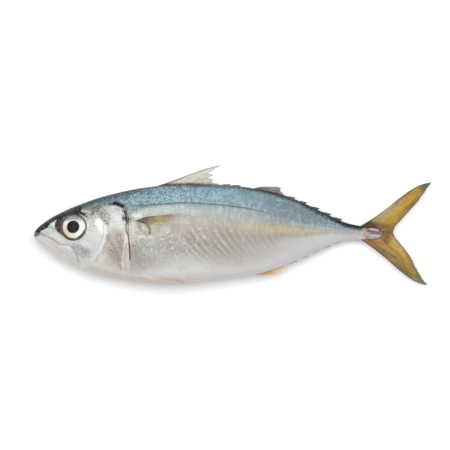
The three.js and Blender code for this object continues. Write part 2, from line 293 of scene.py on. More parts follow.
LINE_START = 54
LINE_DEPTH = 0.1
SOCKET_DEPTH = 2.6
SOCKET_LIP_HEIGHT, SOCKET_LIP_WIDTH = 0.35, 2.6
DENT_DEPTH = 0.12
RIB_HEIGHT = 0.07
RIB_SLANT = 0.56
RIB_PERIOD = through([(60, 4.1), (110, 4.1), (140, 3.6), (175, 3)])


def rib_phase(x, y):
    """Counts the muscle segments along the flank, which slant down and back, more so lower."""
    steps = np.linspace(20, 215, 400)
    counted = np.concatenate([[0], np.cumsum(np.diff(steps) / RIB_PERIOD(steps[1:]))])
    return np.interp(x + RIB_SLANT * y - 0.022 * np.maximum(1.5 - y, 0) ** 2, steps, counted)


def rib_strength(x, y):
    """Where the segments show through the skin: the lower flank behind the belly cavity."""
    along = smooth((x - 79) / 9) * (0.45 + 0.55 * smooth((112 - x) / 16)) * smooth((146 - x) / 20)
    below = smooth((LATERAL_LINE(x) - 10 - y) / 5) * smooth((y - BELLY(x) - 8) / 12)
    return along * below


def soft_dents(x, y):
    """The slack flesh is never quite even: long shallow waves, in millimetres."""
    waves = np.sin(x * 0.117 + y * 0.05) * np.sin(y * 0.16 + 0.8) + np.sin(x * 0.061 - y * 0.13 + 2)
    return DENT_DEPTH * waves * smooth((x - 50) / 25) * smooth((180 - x) / 25)


def relief(x, y):
    """Height in millimetres of everything that stands on or sinks into the bare body."""
    height = brushed(x, y, RELIEF, np.add)
    from_eye = np.hypot(x - EYE_X, y - EYE_Y) - EYE_RADIUS
    height += SOCKET_LIP_HEIGHT * smooth(1 - np.abs(from_eye) / SOCKET_LIP_WIDTH)
    height -= SOCKET_DEPTH * smooth((0.35 - from_eye) / 0.7)
    groove = smooth(1 - np.abs(y - LATERAL_LINE(x)) / 0.7) * smooth((x - LINE_START) / 6)
    height -= LINE_DEPTH * groove
    height += RIB_HEIGHT * np.sin(2 * np.pi * rib_phase(x, y)) * rib_strength(x, y)
    return height + soft_dents(x, y)


print("strokes of relief:", len(RELIEF))

# %% [markdown]
# ## The body mesh
# A round sphere primitive already has what a fish needs: rings round a long axis and a closed
# pole at each end. Each ring becomes one cross section. Most rings are evenly spaced, but they
# crowd together at the snout, and a set of them folds under the rim of the gill cover to make a
# true opening with a wall behind it, which paint or bump could not give.

# %% Model the body
GIRTH = 236
# The gill opening from front to back: (distance behind the rim where it is open, height).
GILL_PROFILE = [
    (-1.9, 0.3), (-1.1, 0.4), (-0.4, 0.42), (0.0, 0.34), (0.08, 0.14), (-0.02, -0.06),
    (-0.2, -0.26), (-0.2, -0.42), (0.0, -0.48), (0.16, -0.36), (0.34, -0.16), (0.7, 0.0), (1.3, 0.1),
    (2.5, 0.02), (4.4, 0.0),
]
GILL_RISE_LENGTH = 8.0
NOSE_END, SHOULDER_END, TRUNK_END = 9, 62, 176
PRESSED_SOFTNESS = 0.35


def ring_stations():
    """Where the rings stand, and for each ring how it moves and rises where the gill is open."""
    rim = float(GILL_EDGE(0))
    closed = np.linspace(GILL_PROFILE[0][0], GILL_PROFILE[-1][0], len(GILL_PROFILE))
    nose = NOSE_END * (np.arange(1, 27) / 26) ** 2
    head = np.linspace(NOSE_END, rim + closed[0], 112)[1:-1]
    shoulder = np.linspace(rim + closed[-1], SHOULDER_END, 14)[1:]
    trunk = np.linspace(SHOULDER_END, TRUNK_END, 146)[1:]
    tail_root = np.linspace(TRUNK_END, BODY_END, 29)[1:]
    stations = np.concatenate([nose, head, rim + closed, shoulder, trunk, tail_root])
    move = np.zeros(len(stations))
    lift = np.zeros(len(stations))
    first = len(nose) + len(head)
    for i, (at, height) in enumerate(GILL_PROFILE):
        move[first + i] = at - closed[i]
        lift[first + i] = height
    before = np.arange(first)
    start_height = GILL_PROFILE[0][1]
    lift[before] = start_height * smooth(1 - (rim + closed[0] - stations[before]) / GILL_RISE_LENGTH)
    return stations, move, lift


def bend_to_gill(x, y):
    """Bends the rings near the gill so that one of them follows the rim of the gill cover."""
    rim = float(GILL_EDGE(0))
    pull = smooth((x - 22) / (rim - 24)) * smooth((85 - x) / 30)
    return x + (GILL_EDGE(y) - rim) * pull


def body_surface(row, angle):
    """Places ring number row at an angle round the body, in the drawing."""
    stations, move, lift = ring_stations()
    station = stations[row]
    power = 2 / ROUNDNESS
    rise = np.sign(np.sin(angle)) * np.abs(np.sin(angle)) ** power
    side = np.sign(np.cos(angle)) * np.abs(np.cos(angle)) ** power

    def height_at(x):
        return WIDEST(x) + rise * np.where(rise > 0, BACK(x) - WIDEST(x), WIDEST(x) - BELLY(x))

    x = bend_to_gill(station, height_at(station))
    y = height_at(x)
    opened = smooth((GILL_TOP + 1.5 - y) / 3) * smooth((y - GILL_BOTTOM + 1) / 4)
    opened *= 0.4 + 0.6 * smooth((-1 - y) / 6)
    smooth_place = np.stack([x, y, side * HALF_WIDTH(x)], -1)
    return smooth_place, move[row] * opened, lift[row] * opened


def pressed_flat(height):
    """The flank that the fish lies on is pressed flat against the table."""
    return (height + np.hypot(height, PRESSED_SOFTNESS)) / 2


def surface_normals(places):
    """Outward normals of a grid of rings, from the differences of neighbours."""
    along = np.gradient(places, axis=0)
    around = np.roll(places, -1, 1) - np.roll(places, 1, 1)
    normal = np.cross(around, along)
    normal /= np.maximum(np.linalg.norm(normal, axis=2, keepdims=True), 1e-9)
    outwards = np.sign((normal[..., 2] * places[..., 2]).sum())
    return normal * outwards


stations, _, _ = ring_stations()
body = new_piece(
    "fish_body", bpy.ops.mesh.primitive_uv_sphere_add, segments=GIRTH, ring_count=len(stations) + 1,
)
ball = vertices_of(body)
ring = np.rint(np.arccos(np.clip(ball[:, 2], -1, 1)) / np.pi * (len(stations) + 1)).astype(int)
step = np.rint(np.arctan2(ball[:, 1], ball[:, 0]) / (2 * np.pi) * GIRTH).astype(int) % GIRTH

rows, steps = np.meshgrid(np.arange(len(stations)), np.arange(GIRTH), indexing="ij")
grid, gill_move, gill_lift = body_surface(rows, 2 * np.pi * steps / GIRTH)
normals = surface_normals(grid)
side_x, side_y = grid[..., 0] + gill_move, grid[..., 1]
heights = gill_lift + relief(side_x, side_y)
at_tip = smooth(grid[..., 0] / 2.5) * smooth((BODY_END + 1 - grid[..., 0]) / 3)
grid = grid + normals * (heights * at_tip)[..., None]
grid[..., 0] += gill_move
grid[..., 2] += REST_HEIGHT(grid[..., 0])

drawn = np.zeros((len(ball), 3))
inner = (ring > 0) & (ring <= len(stations))
drawn[inner] = grid[ring[inner] - 1, step[inner]]
drawn[ring == 0] = (0, -0.5, REST_HEIGHT(0))
drawn[ring == len(stations) + 1] = (BODY_END + 0.6, WIDEST(BODY_END), REST_HEIGHT(BODY_END))
drawn[:, 2] = pressed_flat(drawn[:, 2])
move_vertices(body, to_row(drawn))
face_outwards(body)
report(body)

# %% [markdown]
# ## Fins as fans of rays
# A fin is a sheet of skin held by rays that fan out from the body. A flat grid primitive has the
# same layout: one direction counts the rays, the other runs along them. Its vertices are moved
# onto the fan, its edge is notched between the rays, and Solidify gives it a thickness that is
# larger at the root and on each ray. The grid's own UV map stays, so that the colours can
# follow the rays.

# %% The fin maker
COLUMNS_PER_RAY = 4
# reached**3 * (1 - reached) has its peak at 0.1055, which this brings up to 1.
BOW_SCALE = 9.48


def walk(points):
    """A line of points, walked by a share of its length from 0 to 1."""
    corners = np.array(points, float)
    lengths = np.linalg.norm(np.diff(corners, axis=0), axis=1)
    shares = np.concatenate([[0], np.cumsum(lengths)]) / lengths.sum()
    return lambda share: np.stack([np.interp(share, shares, corners[:, i]) for i in (0, 1)], -1)


def make_fin(name, form, height_at, seed):
    """form: root and edge lines, rays, steps, thickness at both, ridge, bow, notch, wave."""
    columns, steps = form["rays"] * COLUMNS_PER_RAY, form["steps"]
    grid = partial(bpy.ops.mesh.primitive_grid_add, x_subdivisions=columns, y_subdivisions=steps)
    fin = new_piece(name, grid, size=1)
    share, t = (vertices_of(fin)[:, :2] + 0.5).T
    random = np.random.default_rng(seed)
    tips = random.uniform(0, 1, form["rays"] + 2)
    tips[[0, form["rays"]]] = 0
    near_ray = np.cos(2 * np.pi * form["rays"] * share)
    ragged = np.interp(share * form["rays"], np.arange(form["rays"] + 2), tips)
    reach = 1 - form["notch"] * (0.5 - 0.5 * near_ray) - form["notch"] * 1.2 * ragged
    reached = t * (1 - (1 - reach) * t**3)
    start, end = walk(form["root"])(share), walk(form["edge"])(share)
    ray = end - start
    outwards = np.stack([-ray[:, 1], ray[:, 0]], -1) / np.linalg.norm(ray, axis=1)[:, None]
    bulge = form["bow"] * (1 - 2 * share) * BOW_SCALE * reached**3 * (1 - reached)
    place = start + ray * reached[:, None] + outwards * bulge[:, None]
    height = height_at(place[:, 0], place[:, 1])
    height = height + form["wave"] * reached * np.sin(share * 9 + place[:, 0] * 0.21 + seed)
    move_vertices(fin, to_row(np.column_stack([place, height])))
    store(fin, "on_ray", 0.5 + 0.5 * near_ray)

    ridge = form["ridge"] * (0.5 + 0.5 * near_ray) ** 2 * (1 - 0.6 * reached)
    thick = form["root_thick"] + (form["edge_thick"] - form["root_thick"]) * np.sqrt(reached) + ridge
    most = float(thick.max())
    group = fin.vertex_groups.new(name="thickness")
    for i, weight in enumerate(thick / most):
        group.add([i], float(weight), "REPLACE")
    thicken(fin, most * MM, 0, group.name)
    fin.vertex_groups.clear()
    face_outwards(fin)
    bpy.ops.object.shade_smooth_by_angle(angle=math.radians(50))
    report(fin)
    return fin


def in_middle(x, y):
    """The height of the fish's middle plane, the same for every y."""
    return REST_HEIGHT(x)


# %% [markdown]
# ## The tail fin
# The tail is the mackerel's propeller: two stiff crescent lobes on a root that is hardly thicker
# than a pencil. Its rays run from the root to every point of the edge, so one fan makes both
# lobes and the fork between them.

# %% Model the tail fin
tail_fin = make_fin("tail_fin", {
    "root": [(176.5, 4.6), (181, 0.7), (176.5, -2.8)],
    "edge": [
        (215.2, 28.2), (211, 22.3), (209.4, 20.1), (207.8, 17.8), (204.6, 14.4), (199.6, 8.9),
        (195.4, 4.6), (194, 1.1), (195.8, -2.2), (200.2, -7.3), (203.4, -11.6), (206.7, -18),
        (209.9, -23.4), (213.1, -27.5),
    ],
    "rays": 40, "steps": 44, "root_thick": 1.9, "edge_thick": 0.3, "ridge": 0.16, "bow": 2.5,
    "notch": 0.009, "wave": 0.35,
}, in_middle, seed=3)

# %% [markdown]
# ## Dorsal and anal fins
# The first dorsal fin has folded back into its groove, with its front spine still up and a
# ragged rear edge. The second dorsal and the anal fin are short and soft.

# %% Model the fins of the middle line
first_dorsal = make_fin("first_dorsal_fin", {
    "root": [(62, 24.7), (82, 25.8), (97.5, 25.4)],
    "edge": [
        (101.9, 37.5), (99.4, 36.2), (95.6, 33.8), (93.6, 32.7), (97, 32.7), (96.7, 31.9),
        (93.4, 30.6), (97.1, 29.9), (96.5, 29.1), (95.3, 28.3), (99.6, 27.5), (103, 25.4),
    ],
    "rays": 14, "steps": 30, "root_thick": 1.2, "edge_thick": 0.25, "ridge": 0.25, "bow": 0.9,
    "notch": 0.015, "wave": 0.25,
}, in_middle, seed=5)
second_dorsal = make_fin("second_dorsal_fin", {
    "root": [(113, 24), (122, 22.4), (132, 20.2)],
    "edge": [
        (119.4, 24.7), (122.4, 25.8), (126, 26.1), (131.4, 26), (133.7, 25.4), (132.9, 23.8),
        (135.2, 21.4),
    ],
    "rays": 11, "steps": 16, "root_thick": 1.2, "edge_thick": 0.25, "ridge": 0.2, "bow": 0,
    "notch": 0.04, "wave": 0.15,
}, in_middle, seed=6)
anal_fin = make_fin("anal_fin", {
    "root": [(116, -20.4), (124, -19.4), (132, -16.8)],
    "edge": [(121.4, -21.8), (126, -22.6), (131, -22.4), (135.2, -20.8), (137.6, -17.6)],
    "rays": 11, "steps": 16, "root_thick": 1.2, "edge_thick": 0.25, "ridge": 0.2, "bow": 0,
    "notch": 0.04, "wave": 0.15,
}, in_middle, seed=7)

# %% [markdown]
# ## Finlets
# Between each of those fins and the tail stand five finlets, tiny flags of skin that point
# backwards. In front of the second dorsal fin the last two folded spines look much the same. One
# flag is a small fan, so the loop calls the fin maker for each and joins them.

# %% Model the finlets
FINLET_LENGTH = 6.4


def finlet(name, tip, line, rise, seed):
    """One small flag, swept back along the back or belly line to a point at x = tip."""
    side = math.copysign(1, rise)
    start, stop, rear = tip - FINLET_LENGTH, tip - 0.35 * FINLET_LENGTH, tip - 1.3
    return make_fin(name, {
        "root": [(start, float(line(start)) - 0.3 * side), (stop, float(line(stop)) - 0.9 * side)],
        "edge": [
            (tip - 3, float(line(tip - 3)) + 0.42 * rise), (tip, float(line(tip)) + rise),
            (rear, float(line(rear)) + 0.2 * rise),
        ],
        "rays": 2, "steps": 8, "root_thick": 0.9, "edge_thick": 0.25, "ridge": 0.1, "bow": 0,
        "notch": 0, "wave": 0.1,
    }, in_middle, seed)


def join(name, pieces):
    """Joins finished pieces of one kind into one object."""
    select_only(pieces[0])
    for piece in pieces[1:]:
        piece.select_set(True)
    bpy.ops.object.join()
    pieces[0].name = name
    return pieces[0]


SPINE_RISE, DORSAL_RISE, ANAL_RISE = 0.5, 1.3, -0.5
# The tips of the folded spines and the finlets on the back, each with its rise, then the belly's.
DORSAL_TIPS = [(tip, SPINE_RISE) for tip in (106.6, 112)]
DORSAL_TIPS += [(tip, DORSAL_RISE) for tip in (141.6, 147.8, 154.6, 161.1, 166.9)]
ANAL_TIPS = [(tip, ANAL_RISE) for tip in (142.5, 148.4, 154.6, 160.6, 166)]


def finlet_row(name, tips, line, first_seed):
    """A row of finlets along a line of the body, as one piece."""
    seeds = range(first_seed, first_seed + len(tips))
    return join(name, [
        finlet(f"{name}_{seed}", tip, line, rise, seed) for seed, (tip, rise) in zip(seeds, tips)
    ])


dorsal_finlets = finlet_row("dorsal_finlets", DORSAL_TIPS, BACK, 0)
anal_finlets = finlet_row("anal_finlets", ANAL_TIPS, BELLY, 20)

# %% [markdown]
# ## Paired fins
# The breast fins lie folded on the flanks behind the gill covers, and the pelvic fins lie side
# by side along the belly. Both pairs use the same fan, laid on the skin by its own height
# function.

# %% Model the paired fins
def on_flank(side, lift=0.35):
    """The height just over the skin of one flank: 1 for the upper one, -1 for the lower."""

    def height(x, y):
        bare = REST_HEIGHT(x) + side * np.maximum(flank(x, y) + soft_dents(x, y) + lift, 1.4)
        return bare if side > 0 else pressed_flat(bare)

    return height


paired = []
for name, side, root_thick in (("left", 1, 1.0), ("right", -1, 0.4)):
    paired.append(make_fin(f"breast_fin_{name}", {
        "root": [(62, 9.6), (58.8, 8.9), (54.8, 7.2), (58.2, 6.5), (60.6, 5.2), (61.8, 3), (62, 0.4)],
        "edge": [(81, 11.4), (83, 9.4), (80, 5.6), (74, 2), (66.4, -1.2)],
        "rays": 14, "steps": 28, "root_thick": root_thick, "edge_thick": 0.15, "ridge": 0.14,
        "bow": 0.3, "notch": 0.03, "wave": 0,
    }, on_flank(side), seed=8))
    paired.append(make_fin(f"pelvic_fin_{name}", {
        "root": [(58.6, -21.8), (60.6, -22.8), (62.4, -23.6)],
        "edge": [(82.4, -24.8), (84.4, -25.6), (81, -26.3)],
        "rays": 5, "steps": 26, "root_thick": 0.8, "edge_thick": 0.3, "ridge": 0.16, "bow": 0,
        "notch": 0.04, "wave": 0.1,
    }, on_flank(side, 0.2), seed=9))
fins = [tail_fin, first_dorsal, second_dorsal, anal_fin, dorsal_finlets, anal_finlets, *paired]
print("fins:", [fin.name for fin in fins])

# %% [markdown]
# ## Eyes
# A fish's eye is flat in front: a pale iris with the round lens bulging through it, all under a
# clear cornea. The eyeball, the cornea and the rim of skin round them are three pieces of each
# eye. They are modelled facing up at the origin and then laid into the head, square to the flank.

# %% Model the eyes
PUPIL_RADIUS = 3.2
IRIS_RADIUS = EYE_RADIUS - 0.25
CORNEA_RADIUS = EYE_RADIUS - 0.2
IRIS_RISE, LENS_RISE, BALL_DEPTH = 1.05, 0.42, 3.4
CORNEA_RISE, CORNEA_FOOT, CORNEA_WALL = 1.75, 0.25, 0.3


def eye_place(side):
    """The matrix that sets an eye, modelled facing up in millimetres, into the head."""
    reach = 2.0
    slope_x = (flank(EYE_X + reach, EYE_Y) - flank(EYE_X - reach, EYE_Y)) / (2 * reach)
    slope_y = (flank(EYE_X, EYE_Y + reach) - flank(EYE_X, EYE_Y - reach)) / (2 * reach)
    outwards = Vector((-float(slope_x), -float(slope_y), side)).normalized()
    middle = Vector((EYE_X, EYE_Y, float(REST_HEIGHT(EYE_X) + side * flank(EYE_X, EYE_Y))))
    turn = outwards.to_track_quat("Z", "Y").to_matrix().to_4x4()
    origin = Matrix.Translation(-Vector(ORIGIN))
    return Matrix.Scale(MM, 4) @ origin @ Matrix.Translation(middle) @ turn


def set_in_head(piece, side):
    """Lays a finished part of an eye into the head."""
    piece.data.transform(eye_place(side))
    face_outwards(piece)
    bpy.ops.object.shade_smooth()
    report(piece)
    return piece


def eyeball(name, side):
    """A deep bowl behind, a low iris in front and the lens that bulges through the pupil."""
    eye = new_piece(name, bpy.ops.mesh.primitive_uv_sphere_add, segments=72, ring_count=64, radius=1)
    ball = vertices_of(eye)
    around = ball[:, :2] * IRIS_RADIUS
    radius = np.hypot(ball[:, 0], ball[:, 1]) * IRIS_RADIUS
    bowl = np.sqrt(np.clip(1 - (radius / EYE_RADIUS) ** 2, 0, 1))
    lens = LENS_RISE * smooth((PUPIL_RADIUS + 0.25 - radius) / 0.5)
    front = IRIS_RISE * bowl + lens - 0.12 * smooth(1 - np.abs(radius - 4) / 0.9)
    height = np.where(ball[:, 2] >= 0, front, -BALL_DEPTH * bowl)
    move_vertices(eye, np.column_stack([around, height]))
    store(eye, "from_axis", radius)
    return set_in_head(eye, side)


def cornea(name, side):
    """A clear dome over the iris, about as thick as a fingernail."""
    ball = partial(bpy.ops.mesh.primitive_uv_sphere_add, segments=64, ring_count=32)
    dome = new_piece(name, ball, radius=CORNEA_RADIUS)
    dome.scale = (1, 1, CORNEA_RISE / CORNEA_RADIUS)
    bpy.ops.object.transform_apply(scale=True)
    bpy.ops.object.mode_set(mode="EDIT")
    bpy.ops.mesh.bisect(plane_co=(0, 0, CORNEA_FOOT), plane_no=(0, 0, 1), clear_inner=True)
    bpy.ops.object.mode_set(mode="OBJECT")
    thicken(dome, CORNEA_WALL, -1)
    return set_in_head(dome, side)


def eye_rim(name, side):
    """The ring of dark skin that closes the gap between the eyeball and the head."""
    tube = partial(bpy.ops.mesh.primitive_torus_add, major_segments=120, minor_segments=16)
    rim = new_piece(name, tube, major_radius=EYE_RADIUS + 0.1, minor_radius=0.28)
    place = vertices_of(rim)
    angle = np.arctan2(place[:, 1], place[:, 0])
    place[:, 2] = place[:, 2] * 0.8 + 0.1 + 0.05 * np.sin(3 * angle + 1)
    move_vertices(rim, place)
    return set_in_head(rim, side)


eyes, corneas, rims = [], [], []
for name, side in (("left", 1), ("right", -1)):
    eyes.append(eyeball(f"eyeball_{name}", side))
    corneas.append(cornea(f"cornea_{name}", side))
    rims.append(eye_rim(f"eye_rim_{name}", side))

# %% [markdown]
# ## Where each colour lies
# The skin's colours are bands along the flank: ink on the back, blue down to the lateral line,
# pearl grey and gold below it and white on the belly. One number for each vertex says where it
# lies between belly (-1), lateral line (0) and back (1). Everything else is painted as strokes:
# each named pigment gets a mask of its own, and the material decides its colour and grain.

# %% Masks of the skin
def along(line, xs, shift):
    """Points on a body line, shifted up or down, for the given x."""
    return [(x, float(line(x)) + shift) for x in xs]


def gill_points(low, high, behind):
    """Points that follow the rim of the gill cover between two heights."""
    return [(float(GILL_EDGE(y)) + behind, y) for y in np.linspace(low, high, 9)]


